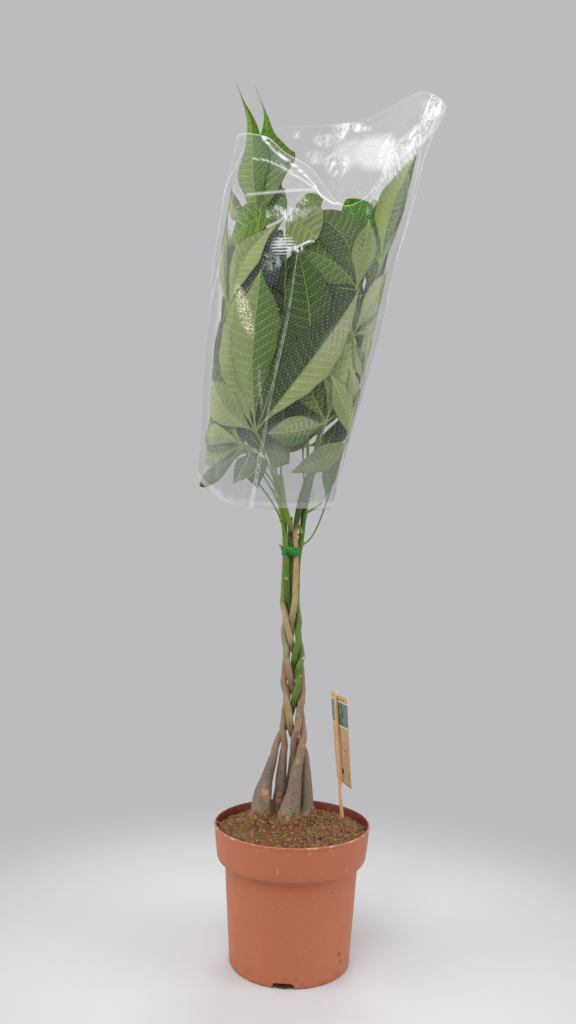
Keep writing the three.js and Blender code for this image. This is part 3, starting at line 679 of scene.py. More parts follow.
def fibre_shape(length, curl, thickness, seed):
    """A thin curly thread, lying about level."""
    rng = random.Random(seed)
    steps = 9
    heading, point, line = rng.uniform(0, 6.28), np.zeros(3), []
    for k in range(steps):
        line.append(point.copy())
        heading += rng.uniform(-curl, curl)
        rise = 0.3 * sin(pi * k / (steps - 1)) + rng.uniform(-0.15, 0.15)
        point += np.array([cos(heading), sin(heading), rise]) * length / steps
    pile = Pile()
    pile.add(*loft(tube_rings(np.array(line) - line[steps // 2], thickness / 2, 3)))
    shape = pile.make("fibre")
    bpy.context.scene.collection.objects.unlink(shape)
    return shape


# %% The open top of the peat, and the loose peat scattered on it
def soil_patch(reach):
    """The open top of the soil out to a share of its radius, as the surface to scatter on."""
    pile = Pile()
    rings = soil_rings()[len(SOIL_BELOW) + round((1 - reach) * SOIL_RINGS):]
    points, faces = loft(rings)
    first = SOIL_SIDES * len(rings)
    pile.add(points, [face for face in faces if first not in face])
    patch = pile.make("soil_patch")
    bpy.context.scene.collection.objects.unlink(patch)
    return patch


whole_patch = soil_patch(1)
inner_patch = soil_patch(0.9)
crumb_coat = peat_finish("peat_crumbs", srgb(96, 64, 44), srgb(178, 136, 94), 0.4)
fibre_coat = peat_finish("peat_fibres", srgb(138, 98, 62), srgb(206, 168, 120), 0.2)
pale_coat = peat_finish("pale_fibres", srgb(168, 134, 90), srgb(220, 190, 144), 0.1)
SCATTERS = [
    ("soil_crumbs", whole_patch, crumb_shape(1), crumb_coat,
     dict(Density=80000.0, Seed=3, Smallest=1.0, Largest=3.4, Tilt=1.2)),
    ("soil_lumps", inner_patch, crumb_shape(9), crumb_coat,
     dict(Density=5200.0, Seed=21, Smallest=3.2, Largest=7.0, Tilt=1.5)),
    ("soil_flakes", whole_patch, crumb_shape(5), fibre_coat,
     dict(Density=26000.0, Seed=8, Smallest=0.8, Largest=2.4, Tilt=1.5)),
    ("soil_fibres", inner_patch, fibre_shape(13, 0.8, 0.36, 2), fibre_coat,
     dict(Density=33000.0, Seed=5, Smallest=0.5, Largest=1.3, Tilt=0.5)),
    ("soil_threads", inner_patch, fibre_shape(22, 1.3, 0.34, 11), pale_coat,
     dict(Density=9000.0, Seed=6, Smallest=0.5, Largest=1.15, Tilt=0.5)),
]
for name, patch, shape, coat, inputs in SCATTERS:
    finish_piece(scatter(name, patch, shape, coat, **inputs), "soil")

# %% Fibres that hang over the rim, and a plug of roots in the front notch
RIM_FIBRES = [  # degrees round the pot, drop outside the rim, sideways drift
    (190, 3, -4), (200, 5, 5), (214, 2, 6), (238, 1, -5), (256, 2, 7), (272, 4, -6),
    (281, 1, 5), (297, 3, -8), (318, 2, 6), (334, 3, 4), (350, 2, -5), (186, 4, 7),
    (247, 2, 9), (263, 1, -9), (305, 1, 8),
]


def make_rim_fibres():
    """Each fibre starts in the peat, climbs the collar's inside and droops over the rim."""
    pile = Pile()
    for k, (degrees, drop, drift) in enumerate(RIM_FIBRES):
        turn = radians(degrees)
        heights = [(88, 176), (95, 182), (101, 185.6), (105.2, 186.6), (107, 185 - drop)]
        steps, line = line_through([(r * cos(turn) - drift * i / 4 * sin(turn),
                                     r * sin(turn) + drift * i / 4 * cos(turn), z)
                                    for i, (r, z) in enumerate(heights)], 30)
        curl = np.array([[rough((s, k, j), 0.8) for j in (0, 9)] + [0.0] for s in steps])
        pile.add(*loft(tube_rings(line + 1.2 * curl, 0.24 - 0.03 * steps, 4)))
    return pile.make("rim_fibres", pale_coat)


def make_notch_roots():
    """A fuzzy tuft of roots and peat that shows in the front drain notch."""
    pile = Pile()
    rng = random.Random(4)
    out, side = outward(NOTCH_START)
    for k in range(150):
        across = rng.gauss(0, 5.5)
        start = out * rng.uniform(75.4, 78) + side * across + np.array([0, 0, rng.uniform(5.4, 7)])
        fall = rng.uniform(2.5, 5.4) * exp(-(across / 11)**2)
        steps = np.linspace(0, 1, 7)[:, None]
        bend = side * rng.uniform(-4, 4) * steps**2 + out * rng.uniform(0, 3.4) * steps
        line = start + bend - np.array([0, 0, 1]) * fall * steps
        pile.add(*loft(tube_rings(line, rng.uniform(0.14, 0.34), 4)))
    return pile.make("notch_roots", peat_finish("root_tuft", srgb(52, 34, 24),
                                                srgb(112, 76, 50), 0.0))


finish_piece(make_rim_fibres(), "soil")
finish_piece(make_notch_roots(), "soil")

# %% [markdown]
# ## Stems
# A money tree stem swells at the foot, where it stores water, and thins to a green shoot. The
# lines and radii are the CAD ones. Each ring gets ridges, knots and scars, and each point a
# colour that runs from grey-brown bark through tan to green skin, as the five stems differ.

# %% Stem lines
STEM_STEP = 12
ROOT_DEPTH_Z = 142
GAP = 0.3
STEMS = [  # centre line and radius, bottom to top: x, y, z, radius
    [[-39, 2, 142, 6], [-39, 2, 166, 11], [-40, 2, 186, 13.8], [-39, 2, 202, 14.2],
     [-38, 1, 222, 12], [-35.8, 1, 240, 8.6], [-30.5, 0, 259, 7], [-24, 0, 280, 4.7],
     [-19, 4, 296, 4.7], [-9, 9, 318, 4.7], [-3, 4, 338, 4.6], [1, -5, 352, 4.6],
     [4, -6, 385, 4.5], [4, -4, 404, 4.4], [3.5, 0, 420, 4.4], [3.5, 6, 436, 4.3],
     [-1, 7, 450, 4.2], [-8, 4, 464, 4.1], [-11.5, -2, 484, 4], [-13.5, -6, 500, 3.8],
     [-14.9, -6, 518, 3.7], [-16.2, -6, 551, 3.6], [-20.5, -5, 590, 3.8],
     [-25.5, -3, 622, 3.8], [-31, -1, 655, 3.2]],
    [[-17, 16, 142, 5], [-17, 16, 180, 10], [-17, 14, 208, 9.8], [-15.5, 8, 232, 8.2],
     [-15, 5, 252, 6.6], [-14.5, 1, 285, 4.8], [-14, 0, 317, 4.2], [-11, 5, 343, 4.2],
     [-6, 7, 370, 4.1], [-0.5, -1, 397, 4.1], [1.2, -7, 416, 4.1], [2.2, -7, 435, 4.1],
     [2, -3, 453, 4], [0.4, 2, 472, 3.9], [-0.2, 6, 497, 3.7], [-0.2, 6, 525, 3.6],
     [1.5, 5, 548, 3.6], [4, 4, 565, 3.6], [6.5, 3, 597, 3.8], [9, 4, 630, 3.7],
     [14, 5, 668, 3.2]],
    [[-7, -12, 142, 6], [-7, -13, 166, 12], [-6, -13, 189, 14.6], [-1.5, -12, 210, 12.6],
     [1.5, -11, 226, 10.2], [4.5, -9, 254, 7.8], [9, -8, 275, 6], [11, -7, 290, 5],
     [11.3, -4, 303, 4.8], [10.2, 2, 318, 4.8], [7.5, 5, 334, 4.7], [2, 3, 350, 4.6],
     [-6, -5, 373, 4.5], [-9, -7, 389, 4.4], [-11, -7, 402, 4.4], [-12.8, -5, 416, 4.3],
     [-15.3, 0, 435, 4.2], [-15, 5, 452, 4.1], [-12.5, 6, 475, 4], [-10.5, 4, 500, 3.8],
     [-9.8, 3, 530, 3.7], [-10, 1, 551, 3.5], [-11, 0, 575, 3.3], [-11.6, 0, 598, 3]],
    [[20, 0, 142, 5], [20, 0, 176, 9], [19.5, 0, 196, 9.4], [19, 0, 227, 7.6],
     [17.5, 1, 252, 6.2], [14.5, 5, 277, 5.2], [7, 7, 289, 5], [-1.5, 2, 300, 4.8],
     [-4.5, -5, 314, 4.8], [-7.8, -7, 333, 4.8], [-11.2, -6, 354, 4.5], [-13.5, -2, 374, 4.4],
     [-14.5, 1, 390, 4.4], [-12.5, 5, 404, 4.3], [-8.5, 6.5, 430, 4.3], [-6, -2, 453, 4.3],
     [-5.2, -6, 466, 4.3], [-3.8, -7, 484, 4.3], [-2.9, -7, 497, 4.2], [-2.3, -6.5, 516, 4.1],
     [-2.8, -5, 551, 3.5], [-4.5, -5, 575, 3.4], [-3.2, -5, 590, 4], [0.5, -6, 610, 4.6],
     [5, -8, 630, 4.7], [11, -8, 650, 4.4], [16, -8, 668, 3.6]],
    [[-3, 24, 142, 5], [-4, 23, 180, 8.6], [-4, 20, 213, 8.4], [-2, 10, 252, 5.6],
     [0.5, 5, 275, 5], [1, 1, 288, 4.9], [3.5, -5, 310, 4.8], [6.5, -7, 332, 4.7],
     [8, -5, 350, 4.6], [9.3, 0, 372, 4.5], [7, 5, 392, 4.4], [-0.5, 4, 413, 4.3],
     [-7.5, -6, 431, 4.3], [-11.5, -7, 446, 4.2], [-15, -5, 462, 4.1], [-16.6, 1, 480, 4],
     [-16.8, 4, 500, 3.8], [-17, 4, 520, 3.6], [-17.5, 4, 551, 3.5], [-20, 4, 590, 3.6],
     [-26, 6, 622, 3.7], [-34, 9, 655, 3.2]],
]
SIDE_SHOOT = [[-10.5, -3.4, 572, 2.8], [-12.5, -12.6, 588, 3.4],
              [-19.5, -16, 612, 3.5], [-26, -17, 652, 3]]


def spread_stems():
    """Reads the stems at even heights and eases apart those that would touch, as the CAD does."""
    stems = []
    for rows in STEMS:
        top = rows[-1][2]
        count = round((top - ROOT_DEPTH_Z) / STEM_STEP)
        levels = [ROOT_DEPTH_Z + k * STEM_STEP for k in range(count)] + [top]
        stems.append([[float(curve_at(rows, 2, column, z)) for column in (0, 1)]
                      + [z, float(curve_at(rows, 2, 3, z))] for z in levels])
    for _ in range(60):
        for level in range(max(map(len, stems))):
            for i, first in enumerate(stems):
                for second in stems[:i]:
                    if level < min(len(first), len(second)):
                        ease_apart(first[level], second[level])
    return stems


def ease_apart(a, b):
    dx, dy = a[0] - b[0], a[1] - b[1]
    need = (a[3] + b[3]) * 1.2 + 2 * GAP
    distance = hypot(dx, dy)
    if distance >= need:
        return
    push = 0.25 * (need - distance)
    length = hypot(0.3 * dx, dy)
    for point, sign in ((a, 1), (b, -1)):
        point[0] += sign * push * 0.3 * dx / length
        point[1] += sign * push * dy / length


stems = spread_stems()
print("stem levels:", [len(stem) for stem in stems])

# %% Stem colours, scars and rings
COATS = {
    "bark": srgb(138, 119, 103), "pink": srgb(158, 130, 108), "tan": srgb(176, 154, 112),
    "khaki": srgb(170, 148, 104), "green": srgb(90, 116, 38), "fresh": srgb(108, 140, 34),
    "deep": srgb(64, 98, 28), "olive": srgb(116, 130, 68), "pale": srgb(152, 152, 114),
    "foot": srgb(150, 132, 114), "strand": srgb(196, 184, 166), "scar": srgb(190, 146, 100),
    "wound": srgb(158, 108, 72), "ash": srgb(196, 188, 168), "rust": srgb(134, 88, 62),
}
STEM_COATS = [  # height and coat, bottom to top
    [(182, "strand"), (196, "foot"), (214, "bark"), (262, "bark"),
     (300, "pink"), (331, "pink"), (335, "olive"), (372, "green"), (400, "green"), (425, "olive"),
     (470, "deep"), (545, "green"), (600, "fresh")],
    [(178, "foot"), (200, "bark"), (250, "bark"), (280, "pink"), (374, "pink"),
     (386, "green"), (520, "green"), (560, "green"), (610, "deep"), (668, "fresh")],
    [(186, "strand"), (200, "foot"), (220, "bark"), (262, "bark"),
     (290, "pink"), (402, "pink"), (410, "pale"), (452, "pale"), (476, "deep"), (560, "green"),
     (584, "olive"), (592, "tan")],
    [(180, "foot"), (192, "strand"), (204, "bark"), (262, "bark"),
     (296, "pink"), (309, "pink"), (311, "khaki"), (354, "khaki"), (357, "pink"),
     (398, "pink"), (410, "tan"), (580, "tan"), (586, "rust"), (592, "deep")],
    [(180, "foot"), (200, "bark"), (262, "bark"), (296, "pink"), (400, "pink"),
     (414, "tan"), (474, "tan"), (486, "olive"), (590, "olive"), (620, "fresh")],
]
SHOOT_COAT = [(572, "rust"), (577, "deep"), (590, "fresh")]
SCARS = [  # stem, height, direction in degrees, size, lift, coat
    (1, 224, -75, 4.5, 1.2, "scar"), (1, 216.5, -55, 4.5, 1.0, "scar"),
    (2, 222, -105, 4, 1.0, "scar"), (2, 213, -96, 5, 1.2, "scar"), (2, 205, -100, 4, 0.8, "wound"),
    (3, 574, -105, 2.6, 0.9, "rust"), (4, 586.5, -80, 3.2, 0.9, "rust"),
    (1, 405, -50, 2.2, 0.5, "ash"), (1, 381, -40, 2.4, 0.9, "tan"), (1, 345, -100, 2.0, 0.8, "tan"),
    (1, 513, -90, 2.2, 1.0, "tan"), (1, 538, -120, 1.8, 0.4, "wound"), (1, 575, -130, 1.8, 0.5, "rust"),
    (1, 592, -130, 1.6, 0.4, "rust"), (5, 323, -40, 2.2, 0.5, "tan"), (3, 289, -60, 2.6, 0.5, "tan"),
    (3, 267, -100, 3, 0.5, "tan"), (5, 468, -70, 2.4, 0.5, "pale"), (2, 462, -80, 1.8, 0.4, "tan"),
    (4, 525, -80, 1.6, 0.3, "wound"), (4, 470, -70, 1.8, 0.3, "khaki"), (5, 330, -120, 2.4, 0.4, "tan"),
    (3, 402, -100, 2.4, 0.6, "tan"), (2, 601, -20, 3.4, 1.6, "fresh"), (2, 560, -20, 3.2, 0.9, "fresh"),
    (2, 580, -150, 2.6, 1.4, "fresh"), (4, 629, -30, 3.4, 0.9, "deep"), (5, 442, -90, 1.8, 0.4, "pale"),
]
print("scars:", len(SCARS))

# %% Stem skin
RING_STEP = 1.6
RING_SIDES = 30


def coat_at(coats, z):
    heights = [height for height, _ in coats]
    colours = np.array([COATS[name][:3] for _, name in coats])
    return np.stack([np.interp(z, heights, colours[:, k]) for k in range(3)], -1)


def stem_skin(rows, coats, number, sides=RING_SIDES):
    """Rings, colours and grain coordinates of one stem."""
    bottom, top = rows[0][2] + 6, rows[-1][2]
    z = np.linspace(bottom, top, int((top - bottom) / RING_STEP))
    centres = np.stack([curve_at(rows, 2, 0, z), curve_at(rows, 2, 1, z), z], -1)
    radius = curve_at(rows, 2, 3, z)
    turn = even_turns(sides)
    spokes = tube_rings(centres, 1.0, sides) - centres[:, None]
    swell = smooth_step(7, 12, radius)
    scale = np.ones((len(z), sides))
    # colours change along a ragged line, so each point reads the coat at its own height
    ragged = np.repeat(z[:, None], sides, 1)
    shade = np.ones((len(z), sides))
    fleck = np.zeros((len(z), sides))
    for i, height in enumerate(z):
        for k, angle in enumerate(turn):
            spot = (5 * cos(angle), 5 * sin(angle), height / 16 + 40 * number)
            scale[i, k] += 0.045 * rough(spot, 2.2)
            flute = sin(3 * angle + number + 0.02 * height)
            scale[i, k] += swell[i] * (0.05 * flute + 0.05 * rough(spot, 4.5))
            ragged[i, k] += 5 * rough((spot[0], spot[1], height / 30 + 9 * number), 2.6)
            shade[i, k] += 0.16 * rough((spot[0], spot[1], height / 9 + 7 * number), 1.4)
            fleck[i, k] = rough((spot[0], spot[1], height / 1.6 + 3 * number), 1.3)
    tint = coat_at(coats, ragged) * shade[..., None]
    skin = centres[:, None] + spokes * (radius[:, None] * scale)[..., None]
    # knots where old leaves sat, every few centimetres
    rng = random.Random(40 + number)
    knots = [(number, rng.uniform(240, top - 20), rng.uniform(-180, 180), 1.8, 0.35, None)
             for _ in range(12)]
    for owner, height, degrees, size, lift, coat in SCARS + knots:
        if owner != number:
            continue
        facing = unit(spokes[..., :2]) @ outward(radians(degrees))[0][:2]
        away = radius[:, None] * np.sqrt(np.maximum(2 - 2 * facing, 0))
        near = np.exp(-((z[:, None] - height) / size)**2 - (away / (1.15 * size))**2)
        skin += spokes * (near * lift * (1 + 0.8 * fleck))[..., None]
        if coat:
            rim = smooth_step(0.3, 0.6, near + 0.35 * fleck)[..., None]
            colour = np.array(COATS[coat][:3]) * rim * (1 + 0.5 * fleck[..., None])
            tint = tint * (1 - rim) + colour
        else:
            tint = tint * (1 - 0.3 * near[..., None])
    grain = np.stack(np.broadcast_arrays(5 * np.cos(turn)[None], 5 * np.sin(turn)[None],
                                         z[:, None] / 8 + 30 * number, 1.0), -1)
    return skin, opaque(tint.clip(0, 1)), grain


def add_stem(pile, skin, colours, grain, tip_rise):
    last = skin[-1].mean(0) + np.array([0, 0, tip_rise])
    pile.add(*loft(skin, last), coat=with_ends(colours.reshape(-1, 4)),
             grain=with_ends(grain.reshape(-1, 4)))


print("a ring every", RING_STEP, "mm")


# %% Bark finish and the five stems
def bark_finish():
    """Colour from the coat, with long striations, fine cracks and small pale pores."""
    finish = Finish("stem_skin", Specular_IOR_Level=0.35)
    coat = finish.read("coat").outputs["Color"]
    along = finish.read("grain").outputs["Vector"]
    stripes = finish.noise(1.7, 6, along, 0.65)
    fibres = finish.noise(900, 4, finish.place((1, 1, 0.22)), 0.6)
    pores = finish.noise(420, 3, finish.place((1, 1, 1.6)))
    dark = finish.mix(1, coat, (0.48, 0.44, 0.4, 1), "MULTIPLY")
    light = finish.mix(1, coat, (1.4, 1.36, 1.3, 1), "MULTIPLY")
    tone = finish.mix(finish.span(stripes, 0.3, 0.5), dark, coat)
    tone = finish.mix(finish.span(stripes, 0.56, 0.74, 0, 0.8), tone, light)
    tone = finish.mix(finish.span(fibres, 0.52, 0.68, 0, 0.5), tone, light)
    tone = finish.mix(finish.span(fibres, 0.46, 0.34, 0, 0.4), tone, dark)
    tone = finish.mix(finish.span(pores, 0.66, 0.74, 0, 0.4), tone, light)
    # old bark is rough and cracked, young green skin smooth
    parts = finish.node("SeparateColor", {0: coat})
    green = finish.maths("SUBTRACT", parts.outputs["Green"], parts.outputs["Red"])
    young = finish.span(green, 0.0, 0.06)
    tone = finish.mix(finish.times(young, 0.65), tone, coat)
    relief = finish.times(finish.maths("ADD", stripes, fibres),
                          finish.maths("SUBTRACT", 1.1, young))
    gloss = finish.maths("SUBTRACT", 0.8, finish.times(young, 0.34))
    return finish.wear(Base_Color=tone, Roughness=gloss, Normal=finish.bump(relief, 0.9, 0.0009))


stem_coat = bark_finish()
for number, (rows, coats) in enumerate(zip(stems, STEM_COATS), 1):
    pile = Pile(coat=4, grain=4)
    add_stem(pile, *stem_skin(rows, coats, number), tip_rise=0.4 if number == 3 else 3)
    if number == 3:
        add_stem(pile, *stem_skin(SIDE_SHOOT, SHOOT_COAT, 6, 20), tip_rise=3)
    finish_piece(pile.make(f"money_tree_stem_{number}", stem_coat), "stem", f"stem_{number}")

# %% [markdown]
# ## The shape of the sleeve
# The film sleeve is a soft cone with an oval section. The leaves are laid in layers inside it,
# so one function that wraps a flat drawing round the sleeve places everything in the crown.

# %% Wrapping points round the sleeve
SLEEVE = [  # height, left edge, right edge, half depth
    [600, -146, 45, 47], [650, -142, 55, 49], [700, -138, 67, 52], [790, -136, 91, 58],
    [875, -131, 112, 63], [950, -128, 126, 67], [1005, -121, 142, 70], [1055, -114, 155, 71],
    [1100, -104, 164, 71], [1140, -98, 178, 70], [1175, -104, 194, 68], [1230, -114, 212, 62],
]
SLEEVE_BOTTOM = [[0, 611], [90, 611], [150, 636], [180, 652], [215, 634], [245, 611], [360, 611]]
SLEEVE_TOP = [[0, 1176], [25, 1208], [45, 1226], [60, 1210], [78, 1192], [111, 1180],
              [130, 1170], [152, 1150], [180, 1134], [229, 1107], [246, 1080], [263, 1058],
              [284, 1012], [299, 1024], [309, 1072], [317, 1118], [338, 1154], [360, 1176]]
EYE = {"x": -15, "distance": 1186, "z": 557.5}


def sleeve_at(z):
    left, right, depth = (curve_at(SLEEVE, 0, column, z) for column in (1, 2, 3))
    return (left + right) / 2, (right - left) / 2, depth


def wrap(angle, z, inset):
    """A point at an angle and height, inset from the film. Takes arrays."""
    middle, half, depth = sleeve_at(z)
    return np.stack(np.broadcast_arrays(middle + (half - inset) * np.cos(angle),
                                        (depth - inset) * np.sin(angle), z), -1)


def arc_per_radian(angle, z):
    _, half, depth = sleeve_at(z)
    return np.hypot(half * np.sin(angle), depth * np.cos(angle))


def seen_at(x, z, inset):
    """The [angle, z, inset] in a front layer that shows at x and z on the plane y = 0."""
    nearness, height, angle = 1.0, z, 0.0
    for _ in range(8):
        true_x = EYE["x"] + (x - EYE["x"]) * nearness
        height = EYE["z"] + (z - EYE["z"]) * nearness
        middle, half, _ = sleeve_at(height)
        angle = -acos(np.clip((true_x - middle) / (half - inset), -1, 1))
        nearness = 1 + wrap(angle, height, inset)[1] / EYE["distance"]
    return [angle, float(height), inset]


print("sleeve width at 900 mm:", 2 * float(sleeve_at(900)[1]))

# %% [markdown]
# ## Leaves
# A palmate leaf is a long stalk with a knuckle and four to six leaflets. Each leaflet is a
# thin closed skin: its outline is a formula, side veins quilt it, and its edges wave a little.
# A raised rib runs up the front. The two halves of a leaflet catch the light differently, so each
# half is painted a tone of its own: partly the leaf's own colour, partly painted sheen and shade.

# %% Leaf tables
# lime is partly the colour of young leaflets and partly painted light shining through backlit ones
LEAF_TONES = {
    "pale": srgb(144, 156, 96), "sage": srgb(124, 140, 80), "mid": srgb(78, 104, 38),
    "moss": srgb(58, 82, 28), "deep": srgb(42, 68, 18), "night": srgb(34, 54, 20),
    "blue": srgb(34, 56, 42), "lime": srgb(64, 118, 0), "gold": srgb(134, 152, 58),
    "spring": srgb(84, 118, 10), "dusk": srgb(46, 70, 30),
    "young": srgb(66, 102, 14), "olive": srgb(112, 134, 58),
}
# Front leaves from the film inwards. stem and start height, hub [x, z, inset], and for each
# leaflet: tip x, tip z, inset at the tip, width, bow, tones of its left and right halves,
# and where it is widest and how it ends, where these differ from the usual.
FRONT_LEAVES = [
    ("side", 640, (-62, 715, 5), [
        (-60, 944, 5, 70, -10, "sage", "mid", 0.62),
        (-90, 912, 9, 54, -19, "sage", "sage", 0.6, "blunt"),
        (-125, 787, 7, 50, -6, "pale", "sage"),
        (78, 920, 6, 68, 6, "dusk", "pale", 0.5),
        (-20, 900, 10, 46, 8, "moss", "deep")]),
    (5, 606, (-78, 696, 7), [
        (-142, 703, 6, 30, 9, "sage", "pale"), (-144, 639, 5, 24, -14, "mid", "moss"),
        (-118, 806, 17, 46, -6, "mid", "sage"), (-58, 636, 10, 32, -6, "mid", "mid"),
        (-132, 746, 16, 32, -5, "sage", "mid"), (-136, 694, 9, 34, -12, "sage", "mid")]),
    (2, 562, (66, 706, 4), [
        (-14, 659, 6, 36, 1, "sage", "sage"), (36, 624, 9, 36, 8, "mid", "moss"),
        (66, 808, 8, 34, 5, "sage", "pale"), (90, 800, 5, 26, -4, "sage", "mid"),
        (40, 797, 7, 34, -4, "sage", "pale")]),
    (4, 640, (34, 730, 10), [
        (-47, 713, 9, 42, -4, "sage", "mid"), (64, 876, 12, 58, 6, "sage", "pale"),
        (-4, 830, 15, 46, -6, "mid", "moss"), (82, 806, 13, 30, 5, "mid", "sage")]),
    (4, 652, (10, 806, 9), [
        (-9, 975, 9, 66, 4, "moss", "moss", 0.5), (-50, 888, 13, 46, -6, "deep", "moss"),
        (57, 902, 11, 48, 8, "mid", "mid"), (62, 850, 15, 34, 4, "deep", "moss"),
        (-46, 832, 15, 34, -4, "deep", "deep")]),
    (2, 600, (68, 852, 9), [
        (122, 946, 9, 38, -6, "pale", "sage"), (118, 893, 11, 30, 4, "mid", "sage"),
        (84, 790, 8, 24, 6, "sage", "mid"), (60, 960, 18, 46, -5, "deep", "dusk")]),
    (2, 647, (74, 917, 12), [
        (-11, 974, 15, 60, 9, "mid", "young", 0.5, "blunt"),
        (4, 1024, 12, 54, 20, "moss", "mid", 0.52, "blunt"),
        (-14, 935, 18, 42, -4, "deep", "night"), (89, 1017, 10, 40, 4, "sage", "sage")]),
    (2, 664, (106, 950, 12), [
        (157, 1116, 6, 54, -18, "gold", "mid", 0.45), (146, 1090, 13, 36, 4, "sage", "sage"),
        (56, 1045, 18, 58, -6, "lime", "lime", 0.6, "blunt"),
        (94, 1050, 16, 50, -4, "lime", "lime")]),
    (5, 642, (-104, 884, 11), [
        (-42, 1005, 8, 46, -12, "sage", "pale"), (-114, 1040, 10, 32, -3, "sage", "mid"),
        (-32, 1000, 15, 64, 14, "blue", "blue", 0.5, "blunt"), (-58, 850, 16, 34, 4, "moss", "deep")]),
    (1, 650, (-66, 996, 14), [
        (-101, 1208, 6, 54, 3, "olive", "young", 0.42, "spike"),
        (-75, 1204, 12, 88, 7, "lime", "mid", 0.43, "drip"),
        (-106, 1060, 9, 24, -4, "sage", "mid"), (-30, 1060, 17, 40, 4, "deep", "mid")]),
    ("side", 650, (-26, 1018, 17), [
        (-106, 976, 8, 56, 15, "spring", "spring", 0.6), (-62, 1092, 18, 40, -4, "mid", "deep"),
        (26, 1050, 19, 40, 5, "spring", "mid"), (-84, 930, 18, 34, 4, "mid", "deep"),
        (17, 988, 8, 60, -3, "sage", "sage", 0.5, "blunt")]),
    (1, 624, (-52, 690, 17), [
        (-130, 676, 15, 40, 6, "sage", "mid"), (-92, 642, 14, 30, 4, "mid", "sage"),
        (-14, 672, 15, 34, -5, "young", "mid"), (-96, 770, 19, 38, -6, "deep", "moss"),
        (-50, 790, 19, 42, 4, "deep", "deep")]),
]
# How some stalks bend: share of the reach and of the rise at the curve's two handles.
STALK_BEND = (0.16, 0.35, 0.65, 0.7)
STALK_BENDS = {3: (0.35, 0.03, 0.57, 0.54), 6: (0.2, 0.3, 0.55, 0.8)}
BACK_LEAVES = [  # stem, start height, hub angle in degrees, height, inset, longest leaflet
    (5, 592, 150, 706, 12, 190), (5, 634, 112, 690, 9, 190), (2, 618, 66, 700, 5, 190),
    (2, 628, 30, 742, 9, 165), (5, 626, 90, 780, 14, 180), (5, 643, 158, 840, 20, 160),
    (1, 644, 128, 872, 17, 180), (2, 650, 48, 852, 14, 180), (4, 656, 92, 905, 21, 140),
    (2, 656, 24, 905, 19, 165),
]
FAN = [(-66, 0.62, 0.31), (-30, 0.92, 0.27), (4, 1, 0.27), (37, 0.88, 0.28), (72, 0.6, 0.32)]
BACK_TONES = [("sage", "sage"), ("mid", "sage"), ("sage", "pale"), ("moss", "mid"),
              ("mid", "sage")]
WIDEST = 0.56
FOLD = 0.05

print("leaves:", len(FRONT_LEAVES) + len(BACK_LEAVES))


# %% Plan every leaf
def plan_leaves():
    plans = []
    for stem, start, hub, leaflets in FRONT_LEAVES:
        row = [dict(tip=seen_at(*item[:3]), width=item[3], bow=item[4], tones=item[5:7],
                    widest=item[7] if len(item) > 7 else WIDEST,
                    ending=item[8] if len(item) > 8 else "point") for item in leaflets]
        plans.append(dict(stem=stem, start=start, hub=seen_at(*hub), leaflets=row,
                          bend=STALK_BENDS.get(len(plans) + 1, STALK_BEND)))
    for k, (stem, start, degrees, z, inset, longest) in enumerate(BACK_LEAVES):
        angle = radians(degrees)
        around = float(arc_per_radian(angle, z))
        row = []
        for i, (lean, share, slender) in enumerate(FAN):
            turn, length = radians(lean), longest * share
            tip = [angle + length * sin(turn) / around, z + length * cos(turn), inset + i % 2]
            row.append(dict(tip=tip, width=length * slender, bow=lean / 12, widest=WIDEST,
                            ending="point", tones=BACK_TONES[(i + 2 * k) % len(BACK_TONES)]))
        plans.append(dict(stem=stem, start=start, hub=[angle, z, inset], leaflets=row,
                          bend=STALK_BEND))
    return plans


# How a leaflet ends: the powers in (1 - u**a)**b from its widest place to its tip.
ENDINGS = {"point": (1.85, 1.4), "blunt": (2.3, 0.82), "drip": (1.0, 3.0), "spike": (1.05, 2.0)}
BARE_RIB = 0.05  # share of a leaflet that is only its rib, next to the knuckle


def outline(t, widest, ending):
    """Width of a leaflet along its length: bare rib, long narrow base, full, then its tip."""
    t = ((t - BARE_RIB) / (1 - BARE_RIB)).clip(0, 1)
    a, b = ENDINGS[ending]
    u = ((t - widest) / (1 - widest)).clip(0, 1)
    d = ((widest - t) / widest).clip(0, 1)
    return np.where(t > widest, (1 - u**a)**b, (1 - d**1.9)**1.6)


print("widths of a leaflet:", outline(np.linspace(0, 1, 5), WIDEST, "point").round(2))

# %% One leaflet
GRID_STEP = 2.1
LEAF_HALF_THICKNESS = 0.28
LEAST_INSET = 1.6  # leaf tissue stays this far inside the film
PLAIN = {"veins": [0.5, 9.0], "margin": 1.0}  # map values that draw no veins
RIB_TONE = np.array(srgb(142, 168, 74)[:3])


